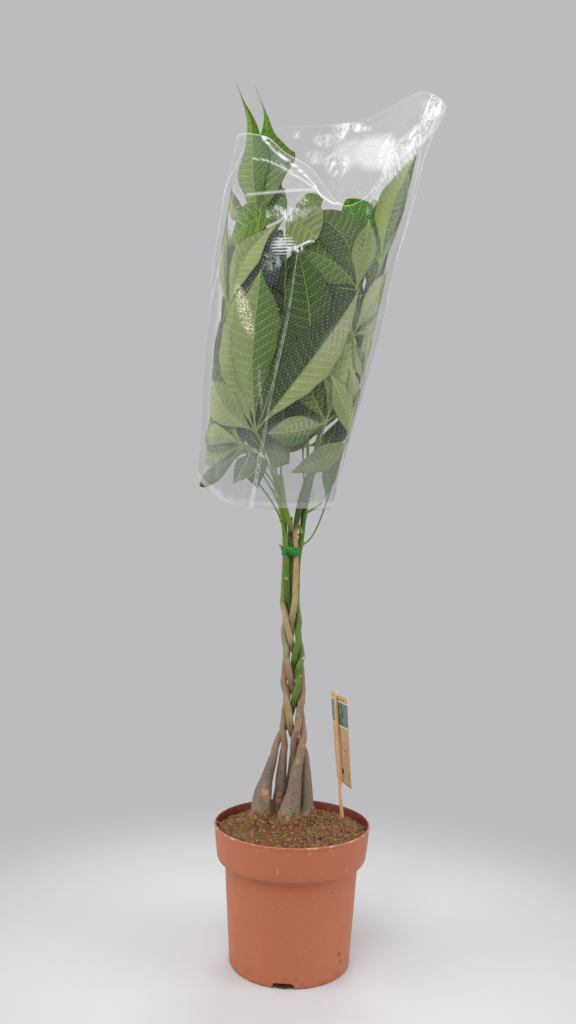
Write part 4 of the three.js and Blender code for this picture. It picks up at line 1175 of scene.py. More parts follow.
def blade(pile, hub, leaflet, seed):
    """One leaflet as a closed skin with its rib, added to the leaf's pile."""
    rng = random.Random(seed)
    tip, width, bow = leaflet["tip"], leaflet["width"], leaflet["bow"]
    around = float(arc_per_radian((hub[0] + tip[0]) / 2, (hub[1] + tip[1]) / 2))
    across, up = (tip[0] - hub[0]) * around, tip[1] - hub[1]
    length = hypot(across, up)
    side_angle, side_z = up / length, -across / length
    rows = max(18, int(length / GRID_STEP))
    half_columns = max(5, int(width / 2 / GRID_STEP))
    t = np.linspace(0.012, 0.998, rows)[:, None]
    v = np.linspace(-1, 1, 2 * half_columns + 1)[None]
    wave_phase, wave_size = rng.uniform(0, 6.3), rng.uniform(0.6, 1.5)
    vein_step = min(max(0.18 * width, 5.5), 12.0)

    def centre(t):
        shift = bow * 4 * t * (1 - t)
        return (hub[0] + (tip[0] - hub[0]) * t + shift * side_angle / around,
                hub[1] + up * t + shift * side_z, hub[2] + (tip[2] - hub[2]) * t)

    form = leaflet["widest"], leaflet["ending"]
    half = width * outline(t, *form) / 2 + 0.25
    ragged = 1 + 0.03 * np.sin(t * length / 5.5 + wave_phase) * np.abs(v)
    w = v * half * ragged
    angle, z, inset = centre(t)
    phase = (t * length - 0.25 * np.abs(w) - 0.3 * w**2 / (half + 1)) / vein_step
    phase = phase + np.where(v < 0, 0.45, 0.0)
    swell = np.cos(2 * np.pi * phase) + 0.35 * np.sin(4 * np.pi * phase)
    flat_edge = smooth_step(0, 0.2, np.abs(v)) * smooth_step(1.0, 0.8, np.abs(v))
    quilt = 0.55 * swell * flat_edge * (half / 16).clip(0, 1)
    wave = wave_size * np.sin(t * length / 13 + wave_phase + 1.5 * np.sign(v)) * np.abs(v)**2
    keel = 0.9 * np.exp(-(w / 3.2)**2) * (half / 16).clip(0, 1)
    depth = inset - FOLD * half * np.abs(v) - quilt + keel + wave * (half / 22).clip(0, 1)
    depth = np.maximum(depth, LEAST_INSET)
    local = arc_per_radian(angle + 0 * w, z + 0 * w)
    where = (angle + w * side_angle / local, z + w * side_z)
    thick = LEAF_HALF_THICKNESS * (1 - np.abs(v)**4) + 0.05
    outer = wrap(*where, depth - thick)
    inner = wrap(*where, depth + thick)
    inside = slice(-2, 0, -1)
    rings = np.concatenate([outer, inner[:, inside]], 1)

    def both(value):
        value = np.broadcast_to(value, w.shape)
        return np.concatenate([value, value[:, inside]], 1)

    # each half's tone is partly the leaf's own colour and partly painted sheen and shade, as the halves
    # fold at the rib and face the light differently
    left, right = (np.array(LEAF_TONES[tone][:3]) for tone in leaflet["tones"])
    if side_angle < 0:
        left, right = right, left
    tint = left + (right - left) * smooth_step(-0.04, 0.04, both(v))[..., None]
    tint = tint * rng.uniform(0.92, 1.08)
    back = np.zeros(both(v).shape, bool)
    back[:, 2 * half_columns + 1:] = True
    tint[back] = tint[back] * 0.45 + 0.5 * np.array(LEAF_TONES["mid"][:3])
    pile.add(*loft(rings, wrap(*tip)), tint=with_ends(opaque(tint).reshape(-1, 4)),
             veins=with_ends(np.stack([both(phase), both(w)], -1).reshape(-1, 2)),
             margin=with_ends(both(np.abs(v)).reshape(-1, 1)))
    rib_t = np.linspace(0.0, 0.97, 44)
    angle, z, inset = centre(rib_t)
    rib_half = outline(rib_t, *form) * width / 2
    rib_radius = (0.26 + 0.85 * (1 - rib_t)**1.3) * (0.6 + width / 140)
    rise = LEAF_HALF_THICKNESS + 0.1 - 0.9 * (rib_half / 16).clip(0, 1)
    line = wrap(angle, z, np.maximum(inset - rise, LEAST_INSET))
    tone = RIB_TONE * 0.75 + 0.25 * (left + right) / 2
    pile.add(*loft(tube_rings(line, rib_radius, 6)), tint=[*tone, 1], **PLAIN)


print("leaflet grid:", GRID_STEP, "mm")

# %% Stalks and knuckles
STALK_TONE = srgb(120, 156, 54)
KNUCKLE_TONE = srgb(104, 152, 34)


def on_stem(number, z):
    """The middle of a stem at a height, and its radius there."""
    rows = SIDE_SHOOT if number == "side" else stems[number - 1]
    x, y, radius = (float(curve_at(rows, 2, column, z)) for column in (0, 1, 3))
    return np.array([x, y, z]), radius


def stalk(pile, plan):
    """The stalk: out of the stem's side, then up to the hub, swollen at both ends."""
    hub = wrap(*plan["hub"])
    axis, stem_radius = on_stem(plan["stem"], plan["start"])
    out = (hub - axis) * np.array([1, 1, 0])
    reach = np.linalg.norm(out)
    out /= reach
    start = axis + out * (stem_radius - 0.4)
    rise = hub[2] - start[2]
    out_1, up_1, out_2, up_2 = plan["bend"]
    lift = np.array([0, 0, rise])
    first = start + out * out_1 * reach + lift * up_1
    second = start + out * out_2 * reach + lift * up_2
    t = np.linspace(0, 1, 44)[:, None]
    line = ((1 - t)**3 * start + 3 * (1 - t)**2 * t * first + 3 * (1 - t) * t**2 * second
            + t**3 * hub)
    t = t[:, 0]
    radius = 1.15 + 1.3 * np.exp(-(t * rise / 5)**2) + 0.9 * np.exp(-((1 - t) * rise / 6)**2)
    pile.add(*loft(tube_rings(line, radius, 10)), tint=STALK_TONE, **PLAIN)
    knob = [hub + np.array([0, 0, dz]) for dz in (-3.2, -2.2, -0.8, 0.8, 2.2, 3.0)]
    knob_rings = tube_rings(knob, np.array([0.6, 1.8, 2.5, 2.5, 1.9, 0.7]), 12)
    pile.add(*loft(knob_rings), tint=KNUCKLE_TONE, **PLAIN)


print("stem 1 at the tie:", on_stem(1, 551)[0].round(1))


# %% Leaf finish and the leaves
def leaf_finish():
    """Leaf tissue: side veins and midrib from the vein map, a fine net between them, and painted shade
    and highlights beside the side veins.
    """
    finish = Finish("leaf_tissue", IOR=1.42, Specular_IOR_Level=0.13)
    tint = finish.read("tint").outputs["Color"]
    margin = finish.read("margin").outputs["Fac"]
    _, phase, offset = finish.flat_map("veins")
    to_vein = finish.apart(finish.maths("FRACT", finish.maths("ADD", phase, 0.5)), 0.5)
    fade = finish.span(margin, 0.98, 0.6)
    # veins stand out on dark halves and hardly show on pale ones
    light = finish.node("RGBToBW", {0: tint}).outputs[0]
    clear = finish.span(light, 0.26, 0.09, 0.3, 1.0)
    side_vein = finish.times(finish.span(to_vein, 0.12, 0.04), fade)
    side_vein = finish.times(side_vein, clear)
    midrib = finish.span(finish.maths("ABSOLUTE", offset), 1.0, 0.35)
    vein = finish.most(finish.times(side_vein, 0.9), midrib)
    net = finish.node("TexVoronoi", {"Vector": finish.place(), "Scale": 420.0},
                      feature="DISTANCE_TO_EDGE").outputs["Distance"]
    net = finish.span(net, 0.12, 0.02)
    shade = finish.mix(1, tint, (0.5, 0.6, 0.45, 1), "MULTIPLY")
    glow = finish.mix(1, tint, (2.3, 2.0, 2.6, 1), "MULTIPLY")
    # painted shade on one side of each vein, and a painted highlight on the crest on its other side
    one_side = finish.maths("FRACT", phase)
    valley_shade = finish.times(finish.span(one_side, 0.46, 0.1), finish.span(margin, 1.0, 0.75))
    tone = finish.mix(finish.times(valley_shade, clear), tint, shade)
    crest_highlight = finish.times(finish.span(one_side, 0.5, 0.95), clear)
    tone = finish.mix(finish.times(crest_highlight, 0.3), tone, glow)
    tone = finish.mix(finish.span(finish.noise(38, 4), 0.3, 0.7, 0, 0.4), tone, shade)
    tone = finish.mix(finish.times(net, 0.14), tone, glow)
    tone = finish.mix(vein, tone, glow)
    relief = finish.maths("ADD", vein, finish.times(net, 0.18))
    gloss = finish.span(finish.noise(60, 3), 0.3, 0.7, 0.38, 0.54)
    return finish.wear(Base_Color=tone, Roughness=gloss, Normal=finish.bump(relief, 0.5, 0.0006))


leaf_coat = leaf_finish()
for number, plan in enumerate(plan_leaves(), 1):
    pile = Pile(tint=4, veins=2, margin=1)
    stalk(pile, plan)
    for k, leaflet in enumerate(plan["leaflets"]):
        blade(pile, plan["hub"], leaflet, 100 * number + k)
    name = f"{number:02d}"
    finish_piece(pile.make(f"palmate_leaf_{name}", leaf_coat), "leaf", f"leaf_{name}")

# %% [markdown]
# ## The film sleeve
# The sleeve is one sheet of perforated film, welded along a seam. It is see-through, so what
# shows is a grey haze, painted glare where it is crumpled, and creases, whitish and painted with
# glare. Only the outer skin of the film carries these, so that a wall counts once, and the inner skin
# is clear.

# %% Where the film is hazy, crumpled and creased, and where glare is painted on it
# Patches as they show from the front: x, z, half width, half height, tilt, strength
CRUMPLE_GLARES = [
    (34, 1082, 18, 17, 20, 0.9), (18, 1102, 16, 12, 0, 0.7), (24, 1122, 18, 8, 0, 0.7),
    (-17, 1023, 24, 10, 10, 0.8), (-40, 1026, 10, 9, 0, 0.5), (-9, 974, 8, 5, 0, 0.9),
    (-34, 981, 8, 7, 0, 0.9), (-46, 955, 14, 14, -30, 0.35), (-52, 1022, 5, 6, 0, 0.6),
    (-28, 1085, 16, 4, -35, 0.5), (134, 1104, 12, 44, -40, 0.7), (108, 1078, 9, 30, -34, 0.6),
    (97, 1048, 6, 26, -24, 0.5),
]
FAR_CRUMPLE_GLARES = [  # on the film's far wall, seen through its open top
    (178, 1182, 13, 34, -28, 1.0), (62, 1149, 26, 7, -6, 1.0), (150, 1134, 40, 12, 42, 0.8),
    (46, 1140, 9, 12, 20, 0.9), (28, 1128, 18, 10, 0, 0.6), (44, 1098, 18, 20, 0, 0.8),
    (-14, 1136, 5, 6, 0, 1.0), (112, 1112, 12, 28, -10, 1.0), (20, 1104, 26, 10, 0, 0.5),
]
LEVEL_GLARES = [(-31, 978, 17, 14, 20, 0.55)]
FAR_SLANTED_GLARES = [(96, 1113, 34, 24, 10, 1.0), (64, 1112, 26, 20, 10, 0.7)]
GLITTERS = [(-82, 884, 10, 42, 17, 1.0), (-4, 1043, 9, 8, 0, 0.8), (-58, 778, 3, 34, 5, 0.6)]
HONEYCOMBS = [(50, 853, 46, 13, 54, 0.9), (-8, 722, 44, 12, 12, 0.8)]
HAZES = [
    (-104, 860, 44, 150, -6, 0.06), (-104, 710, 70, 90, 0, 0.13), (96, 900, 60, 140, 14, 0.09),
    (44, 800, 74, 80, 0, 0.06), (-70, 1110, 44, 30, 0, 0.12), (-88, 1060, 24, 50, 0, 0.1),
    (-44, 990, 24, 18, 0, 0.06), (2, 1034, 30, 14, 0, 0.14), (50, 852, 56, 20, 54, 0.06),
    (-16, 1096, 70, 22, -30, 0.16), (118, 1090, 20, 56, -34, 0.2),
]
CREASES = [  # points x, z as they show from the front, then width and strength
    ([(-63, 1131), (-45, 1112), (-10, 1087), (14, 1062)], 1.0, 1.0),
    ([(-62, 1128), (-40, 1106), (-6, 1080)], 0.7, 0.5),
    ([(-63, 1131), (-32, 1127), (-7, 1126), (26, 1121)], 0.9, 0.9),
    ([(-75, 1101), (-55, 1098), (-30, 1087), (-7, 1072), (12, 1060)], 1.3, 0.6),
    ([(-82, 1049), (-46, 1053), (-8, 1057), (12, 1057)], 2.0, 0.45),
    ([(12, 1061), (22, 1049), (38, 1039)], 1.5, 1.0),
    ([(38, 1039), (50, 1039), (83, 1049), (93, 1060)], 1.2, 0.9),
    ([(93, 1060), (110, 1095), (122, 1120)], 0.9, 0.7),
    ([(99, 1062), (124, 1098), (142, 1116)], 0.8, 0.5),
    ([(40, 1155), (70, 1130), (54, 1080), (36, 1046)], 0.8, 0.35),
    ([(-128, 900), (-112, 980), (-100, 1062)], 0.9, 0.3),
    ([(-126, 1000), (-112, 1060), (-90, 1110)], 0.8, 0.3),
    ([(128, 960), (148, 1040), (160, 1118)], 0.9, 0.3),
    ([(-9, 976), (4, 984), (12, 985)], 1.0, 1.0),
    ([(-9, 976), (-22, 974)], 1.0, 0.9),
    ([(-120, 690), (-112, 650), (-108, 625)], 2.4, 0.07),
    ([(-104, 672), (-98, 640), (-92, 622)], 3.2, 0.07),
    ([(-88, 716), (-74, 660), (-78, 616)], 2.4, 0.07),
    ([(104, 900), (84, 800), (60, 690), (52, 640)], 0.8, 0.25),
]
print("creases:", len(CREASES))


# %% Read the tables at any place
def patches(x, z, table, soft=0.35):
    """How far inside soft tilted ovals the places at x and z are."""
    total = np.zeros_like(x)
    for cx, cz, half_wide, half_high, tilt, strength in table:
        turn = radians(tilt)
        u = ((x - cx) * cos(turn) + (z - cz) * sin(turn)) / half_wide
        v = (-(x - cx) * sin(turn) + (z - cz) * cos(turn)) / half_high
        total = np.maximum(total, strength * smooth_step(0.95 + soft, 0.95 - soft, np.hypot(u, v)))
    return total


def creases_at(x, z):
    total = np.zeros_like(x)
    for line, wide, strength in CREASES:
        for (x0, z0), (x1, z1) in zip(line, line[1:]):
            dx, dz = x1 - x0, z1 - z0
            t = np.clip(((x - x0) * dx + (z - z0) * dz) / (dx * dx + dz * dz), 0, 1)
            away = np.hypot(x - x0 - t * dx, z - z0 - t * dz)
            total = np.maximum(total, strength * np.exp(-(away / wide)**2))
    return total


def shown_on_plane(points):
    """Where points on the front of the film show on the plane y = 0, from the camera."""
    nearness = 1 + points[..., 1] / EYE["distance"]
    x = EYE["x"] + (points[..., 0] - EYE["x"]) / nearness
    z = EYE["z"] + (points[..., 2] - EYE["z"]) / nearness
    return x, z


# %% Sleeve surface
FILM_COLUMNS = 340
FILM_ROWS = 146
ROW_CROWDING = 0.75  # below 1, rows lie closer together towards the top
FILM_THICKNESS = 0.2
FILM_INSET = 0.6  # of its smooth surface, before folds and crumples lift it
FRONT_SHARE = 0.7  # of the columns lie on the front half, where the fine creases are


def film_angles():
    """Directions round the sleeve in degrees, closer together at the front."""
    front = round(FILM_COLUMNS * FRONT_SHARE)
    back = FILM_COLUMNS - front
    return np.concatenate([180 * np.arange(back) / back, 180 + 180 * np.arange(front) / front])


def film_surface():
    degrees = film_angles()
    low = curve_at(SLEEVE_BOTTOM, 0, 1, degrees)
    high = curve_at(SLEEVE_TOP, 0, 1, degrees)
    share = np.linspace(0, 1, FILM_ROWS)[:, None]**ROW_CROWDING
    angle = np.radians(degrees)[None] + 0 * share
    z = low + (high - low) * share
    base = wrap(angle, z, FILM_INSET)
    x_shown, z_shown = shown_on_plane(base)
    front = smooth_step(0.1, -0.1, np.sin(angle))
    far = 1 - front
    shown = {"crumple": (patches(x_shown, z_shown, CRUMPLE_GLARES) * front
                         + patches(x_shown, z_shown, FAR_CRUMPLE_GLARES) * far),
             "level": patches(x_shown, z_shown, LEVEL_GLARES) * front,
             "slanted": patches(x_shown, z_shown, FAR_SLANTED_GLARES) * far,
             "glitter": patches(x_shown, z_shown, GLITTERS) * front,
             "honeycomb": patches(x_shown, z_shown, HONEYCOMBS, 0.8) * front,
             "crease": creases_at(x_shown, z_shown) * front}
    # haze: least in the middle, more in the skirt and in patches
    haze = (0.015 + 0.24 * smooth_step(720, 660, z) + patches(x_shown, z_shown, HAZES, 0.8) * front
            + far * (0.06 + 0.16 * smooth_step(1040, 1090, z)))
    lift = np.zeros_like(z)
    for i in range(FILM_ROWS):
        for j in range(FILM_COLUMNS):
            point = base[i, j]
            long_fold = rough((point[0] / 9, point[1] / 9, point[2] / 70), 1.0)
            crumple = rough(point / 7, 1.0)
            loose = 0.25 + 0.75 * smooth_step(1040, 1150, point[2])
            ruck = 0.4 + 2.4 * shown["crumple"][i, j]
            lift[i, j] = 1.1 * abs(long_fold) * loose + crumple * ruck * loose
    lift = lift + 1.0 * shown["crease"]
    # cut edges get a painted highlight, carried in the crease mask
    edge = np.exp(-((z - low) / 1.3)**2) * 0.35 + np.exp(-((high - z) / 1.1)**2) * 0.45
    shown["crease"] = np.maximum(shown["crease"], edge)
    surface = wrap(angle, z, FILM_INSET - lift.clip(-FILM_INSET, 3.5))
    return surface, angle, z, haze, shown


print("film grid:", FILM_COLUMNS, "by", FILM_ROWS)

# %% Film finish
HOLE_STEP = 5.6
HOLE_TURN = radians(30)
HOLES_FROM, HOLES_TO = 692, 1112
STRIPE_STEP = 4.1
SLANT = radians(50)  # of the slanted glare's lines
HAZE_COLOUR = (0.47, 0.49, 0.46, 1)
GLARE_COLOUR = (0.97, 0.98, 1.0, 1)
GLITTER_COLOUR = srgb(240, 238, 196)
COMB_COLOUR = srgb(186, 190, 146)


def stripes(finish, distance):
    """1 on lines STRIPE_STEP apart, 0 between them."""
    wobble = finish.times(finish.noise(90, 2), 2.0)
    place = finish.maths("DIVIDE", finish.maths("ADD", distance, wobble), STRIPE_STEP)
    off = finish.apart(finish.maths("FRACT", place), 0.5)
    return finish.span(off, 0.36, 0.18)


def film_finish():
    """Clear film with grey haze, rows of fine holes, and painted glare in lines, in crumples, on
    creases and as glitter.
    """
    finish = Finish("film", Roughness=0.45, Specular_IOR_Level=0.2)
    tree = finish.tree
    place, across, up = finish.flat_map("flat")
    lattice = finish.node("Mapping", {"Vector": place, "Rotation": (0, 0, HOLE_TURN),
                                      "Scale": (1 / HOLE_STEP,) * 3}).outputs[0]
    cell = finish.vector("SUBTRACT", finish.vector("FRACTION", lattice)[0], (0.5, 0.5, 0))[0]
    off = finish.vector("LENGTH", cell)["Value"]
    zone = finish.times(finish.span(up, HOLES_FROM, HOLES_FROM + 8),
                        finish.span(up, HOLES_TO, HOLES_TO - 14))
    hole = finish.times(finish.span(off, 0.13, 0.06), zone)
    first = finish.node("SeparateColor", {0: finish.read("marks").outputs["Color"]}).outputs
    second = finish.node("SeparateColor", {0: finish.read("veil").outputs["Color"]}).outputs
    crumple, level, slanted = first["Red"], first["Green"], first["Blue"]
    haze, glitter, comb = second["Red"], second["Green"], second["Blue"]
    outer = finish.read("outer").outputs["Fac"]
    crease = finish.read("crease").outputs["Fac"]
    streaks = finish.node("Mapping", {"Vector": place, "Rotation": (0, 0, 0.8),
                                      "Scale": (0.19, 0.045, 1)}).outputs[0]
    shift = finish.node("TexNoise", {"Vector": streaks, "Scale": 1.4}).outputs["Color"]
    bent = finish.vector("MULTIPLY_ADD", shift, (0.9,) * 3, streaks)[0]
    cells = finish.node("TexVoronoi", {"Vector": bent, "Scale": 1.0}).outputs["Color"]
    cells = finish.node("SeparateColor", {0: cells}).outputs["Red"]
    facets = finish.times(finish.span(cells, 0.45, 0.75), finish.span(
        finish.noise(1.6, 3, streaks), 0.36, 0.6, 0.45, 1.0))
    ridges = finish.apart(finish.noise(0.13, 4, place, 0.6, 1.6), 0.5)
    creped = finish.most(facets, finish.span(ridges, 0.035, 0.01))
    slope = finish.maths("ADD", finish.times(up, cos(SLANT)), finish.times(across, sin(SLANT)))
    # painted glare: white highlights in crumples, in level and slanted lines, and on creases and cut
    # edges; the holes are drawn pale in the same mix
    glare = finish.times(crumple, creped)
    glare = finish.most(glare, finish.times(level, stripes(finish, up)))
    glare = finish.most(glare, finish.times(slanted, stripes(finish, slope)))
    glare = finish.most(glare, crease)
    glare = finish.most(glare, finish.times(hole, 0.42))
    # glitter: painted glints where the film lies on the leaves
    sparks = finish.times(glitter, finish.span(finish.noise(640, 2), 0.5, 0.56))
    net = finish.times(finish.times(comb, 0.6), finish.span(off, 0.26, 0.44))
    facing = finish.node("LayerWeight", {"Blend": 0.5}).outputs["Facing"]
    slant = finish.span(facing, 0.12, 0.75)
    cloud = finish.span(finish.noise(22, 3, finish.place((1, 1, 0.35))), 0.3, 0.7, 0.75, 1.3)
    veil = finish.maths("ADD", finish.times(haze, cloud), finish.times(slant, 0.17))
    cover = finish.most(finish.most(veil, glare), finish.most(sparks, net))
    cover = finish.times(finish.maths("MINIMUM", cover, 0.96), outer)
    tone = finish.mix(net, HAZE_COLOUR, COMB_COLOUR)
    tone = finish.mix(finish.span(glare, 0.02, 0.2), tone, GLARE_COLOUR)
    tone = finish.mix(sparks, tone, GLITTER_COLOUR)
    finish.wear(Base_Color=tone)
    clear = finish.node("BsdfTransparent")
    bumps = finish.bump(finish.noise(110, 3, finish.place((1, 1, 0.35))), 0.35, 0.002)
    gloss = finish.node("BsdfGlossy", {"Color": (1, 1, 1, 1), "Roughness": 0.14, "Normal": bumps})
    shine = finish.times(outer, finish.maths(
        "ADD", finish.times(slant, 0.1), 0.01))
    body = finish.node("MixShader", {0: shine, 1: clear.outputs[0], 2: gloss.outputs[0]})
    whole = finish.node("MixShader", {0: cover, 1: body.outputs[0], 2: finish.shader.outputs[0]})
    tree.links.new(whole.outputs[0], tree.nodes["Material Output"].inputs["Surface"])
    return finish.material


print("holes every", HOLE_STEP, "mm")

# %% Sleeve mesh
film_coat = film_finish()
surface, angle, z, haze, shown = film_surface()
steps = np.linalg.norm(surface - np.roll(surface, 1, 1), axis=2)
steps[:, 0] = 0
arc = np.cumsum(steps, 1)
to_middle = np.stack([np.cos(angle), np.sin(angle), 0 * angle], -1) * FILM_THICKNESS
rings = np.concatenate([surface, (surface - to_middle)[::-1]], 0)
corner = np.arange(rings[..., 0].size).reshape(rings.shape[:2])  # each point's number
after = np.roll(corner, -1, 1)
film_faces = np.stack([corner, after, np.roll(after, -1, 0), np.roll(corner, -1, 0)], -1)


def doubled(*values):
    """Values of the outer skin, repeated for the inner one, as columns."""
    return np.stack([np.concatenate([value, value[::-1]], 0).ravel() for value in values], -1)


one = np.ones_like(z)
film = Pile(flat=2, marks=4, veil=4, crease=1, outer=1)
film.add(rings.reshape(-1, 3), film_faces.reshape(-1, 4).tolist(), flat=doubled(arc, z),
         marks=doubled(shown["crumple"], shown["level"], shown["slanted"], one),
         veil=doubled(haze, shown["glitter"], shown["honeycomb"], one),
         crease=doubled(shown["crease"]),
         outer=np.concatenate([one, 0 * one], 0).reshape(-1, 1))
finish_piece(film.make("film_sleeve", film_coat), "sleeve", "sleeve")

# %% Seam
SEAM_LINE = [(-66, 609), (-52, 700), (-38, 790), (-21, 880), (-9, 976)]


def seam():
    """The welded strip: a thin pale ridge that broadens into a flap in the skirt."""
    heights = np.linspace(SEAM_LINE[0][1], SEAM_LINE[-1][1], 150)
    rings, marks = [], []
    share = np.array([-1, -0.75, -0.25, 0.25, 0.75, 1.0])
    for height in heights:
        x = float(curve_at(SEAM_LINE, 1, 0, height))
        angle, z, _ = seen_at(x, height, 0)
        local = float(arc_per_radian(angle, z))
        half = (0.7 + 1.1 * float(smooth_step(950, 850, height))
                + 0.6 * float(smooth_step(740, 640, height)))
        ripple = 0.25 * sin(height / 6) + 0.5 * rough((0, 0, height), 12.0)
        outer = [wrap(angle + u * half / local, z, -1.3 + ripple - 0.3 * (abs(u) < 1))
                 for u in share]
        inner = [wrap(angle + u * half / local, z, -1.1 + ripple - 0.3 * (abs(u) < 1))
                 for u in share[::-1]]
        rings.append(outer + inner)
        pale = 0.2 + 0.16 * rough((5, 0, height), 7.0) + 0.2 * float(smooth_step(700, 630, height))
        middle = pale * (0.4 + 0.6 * float(smooth_step(850, 950, height)))
        marks.append([pale, pale, middle, middle, pale, pale] * 2)
    pile = Pile(flat=2, marks=4, veil=4, crease=1, outer=1)
    marks = np.array(marks).reshape(-1, 1)
    outer = np.array([[1.0] * 6 + [0.0] * 6] * len(heights)).reshape(-1, 1)
    pile.add(*loft(rings), crease=np.vstack([marks, [[0.4]], [[0.4]]]), flat=[0.0, 0.0],
             outer=np.vstack([outer, [[1.0]], [[1.0]]]))
    return pile.make("film_seam", film_coat)


finish_piece(seam(), "sleeve")

# %% [markdown]
# ## Tie
# A length of green raffia is wound a few times round the bundle above the braid and knotted
# in front. It is a crumpled flat ribbon, so each turn follows the outside of the stems with
# its own height, twist and ripples, and more turns cross each other over the knot.

# %% Raffia tie
TIE_HEIGHT = 551
HELD = (1, 3, 4, 5)
TIED_STEM_RADIUS = 3.7
KNOT_HALF_WIDTH, KNOT_HALF_HEIGHT = 7.2, 7.6
KNOT_REACH = 6.4  # half the length of a turn over the knot


def round_stems(turn, clearance):
    """The point just outside the bundle in one direction."""
    out = outward(turn)[0]
    places = [on_stem(number, TIE_HEIGHT)[0] for number in HELD]
    carrier = max(places, key=lambda p: p @ out)
    return carrier + out * (TIED_STEM_RADIUS + clearance)


def ribbon(pile, line, width, normals, ripple, seed, shade):
    """A thin crumpled strip along a line, broad side facing along its normals."""
    line = np.asarray(line, float)
    along = unit(np.gradient(line, axis=0))
    rings = []
    for k, (point, normal) in enumerate(zip(line, normals)):
        across = unit(np.cross(along[k], normal))
        row = []
        for u in (-1, -0.5, 0, 0.5, 1):
            fold = ripple * rough((u * 2.3, k / 2.2, seed), 1.0)
            row.append(point + across * u * width / 2 + normal * fold)
        rings.append(row + [p - normal * 0.16 for p in row[::-1]])
    pile.add(*loft(rings), shade=shade)


def tie_finish():
    """Shiny green, with some strips painted darker as shade in the folds."""
    finish = Finish("green_raffia", IOR=1.5)
    streak = finish.noise(700, 3, finish.place((1, 1, 0.5)))
    tone = finish.mix(finish.span(streak, 0.32, 0.68), srgb(4, 84, 16), srgb(30, 164, 54))
    dark = finish.mix(1, tone, (0.22, 0.34, 0.3, 1), "MULTIPLY")
    # painted shade: strips with a higher shade value are darkened
    tone = finish.mix(finish.read("shade").outputs["Fac"], tone, dark)
    return finish.wear(Base_Color=tone, Roughness=finish.span(streak, 0.3, 0.7, 0.2, 0.42),
                       Normal=finish.bump(streak, 0.7, 0.0005))


print("tie at", TIE_HEIGHT, "mm")


# %% Wind and knot the tie
def make_tie():
    pile = Pile(shade=1)
    rng = random.Random(12)
    for k, (height, width) in enumerate([(-3.0, 3.4), (-1.2, 3.8), (0.9, 3.6), (2.8, 3.2)]):
        line, normals = [], []
        for turn in np.linspace(0, 2 * pi * 1.04, 72) + 1.4 * k:
            point = round_stems(turn, 0.9 + 0.3 * k + 0.3 * rough((turn * 3, k, 0), 1.0))
            point[2] = (TIE_HEIGHT + height + 1.1 * sin(turn * 2 + k)
                        + 0.8 * rough((turn * 2, k, 5), 1.0))
            line.append(point)
            normals.append(outward(turn)[0])
        ribbon(pile, line, width, np.array(normals), 0.7, k, 0.25 * (k % 2))
    knot = (on_stem(1, TIE_HEIGHT)[0] + on_stem(4, TIE_HEIGHT)[0]) / 2
    knot[1] -= TIED_STEM_RADIUS + 0.8
    for k in range(15):  # short crossing turns over the front
        lean = rng.uniform(-1.25, 1.25)
        middle_x = rng.uniform(-0.4, 0.4) * KNOT_HALF_WIDTH
        middle_z = rng.uniform(-0.5, 0.5) * KNOT_HALF_HEIGHT
        line = []
        for s in np.linspace(-1, 1, 22):
            x = middle_x + s * KNOT_REACH * cos(lean) + 1.2 * rough((s, k, 3), 0.5)
            z = middle_z + s * KNOT_REACH * sin(lean) + 1.2 * rough((s, k, 8), 0.5)
            x = max(-1.0, min(1.0, x / KNOT_HALF_WIDTH)) * KNOT_HALF_WIDTH
            y = -0.15 * k - 1.2 * (1 - s * s) + 1.4 * abs(s)**5
            # the left part sits higher than the right part
            line.append(knot + np.array([x, y, z + 1.0 - 0.16 * x]))
        normals = np.tile([0.15 * rng.uniform(-1, 1), -1.0, 0.3 * rng.uniform(-1, 1)], (22, 1))
        ribbon(pile, line, rng.uniform(1.6, 2.6), unit(normals), 0.8, 20 + k, 0.75 * (k % 3 == 0))
    ends = [  # loose ends, from the knot's middle
        ((5, -1.5, -2.5), (8.5, -2, -4.5), (10.5, -1, -7.0)),
        ((-3, -1.5, 4), (-4.5, -2.4, 6.5), (-3.5, -2.6, 9)),
        ((2, -2, 4), (3.5, -3, 6), (3, -3.2, 8)),
    ]
    for k, points in enumerate(ends):
        line = line_through([(0, -1, 0), *points], 22)[1] + knot
        normals = np.tile([0.0, -1.0, 0.1], (22, 1))
        ribbon(pile, line, 1.3, normals, 0.7, 40 + k, 0.6 * (k == 0))
    return pile.make("raffia_tie", tie_finish())


finish_piece(make_tie(), "tie", "tie")

# %% [markdown]
# ## Label
# A flat wooden stick stands in the soil with a kraft card behind it. Both are drawn flat, then
# turned and leaned together. The card is one thin sheet whose print is drawn by its shader
# from a flat map: a band of plain leaves, then bare outlines and squares, with no lettering.

# %% Label stick
LABEL_FOOT = Vector((73.5, 49, 142))
LABEL_TOP = Vector((58, 49, 354))
LABEL_TURN = radians(-71.5)
STICK = {"width": 5.4, "thickness": 4.2, "corner": 0.7, "head_width": 7, "head_length": 9.4}
LABEL_LENGTH = (LABEL_TOP - LABEL_FOOT).length


def stand_label(points):
    """Turns and leans points drawn with width on X, thickness on Y and height from the foot."""
    along = (LABEL_TOP - LABEL_FOOT).normalized()
    lean = Vector((0, 0, 1)).rotation_difference(along).to_matrix()
    turn = Matrix.Rotation(LABEL_TURN, 3, "Z")
    matrix = np.array(lean @ turn)
    return np.asarray(points, float) @ matrix.T + np.array(LABEL_FOOT)


def rounded_section(width, thickness, corner):
    """A rectangle's outline with rounded corners, three points at each."""
    points = []
    for cx, cy, start in ((1, 1, 0), (-1, 1, 90), (-1, -1, 180), (1, -1, 270)):
        for step in (0, 45, 90):
            a = radians(start + step)
            points.append((cx * (width / 2 - corner) + corner * cos(a),
                           cy * (thickness / 2 - corner) + corner * sin(a)))
    return points


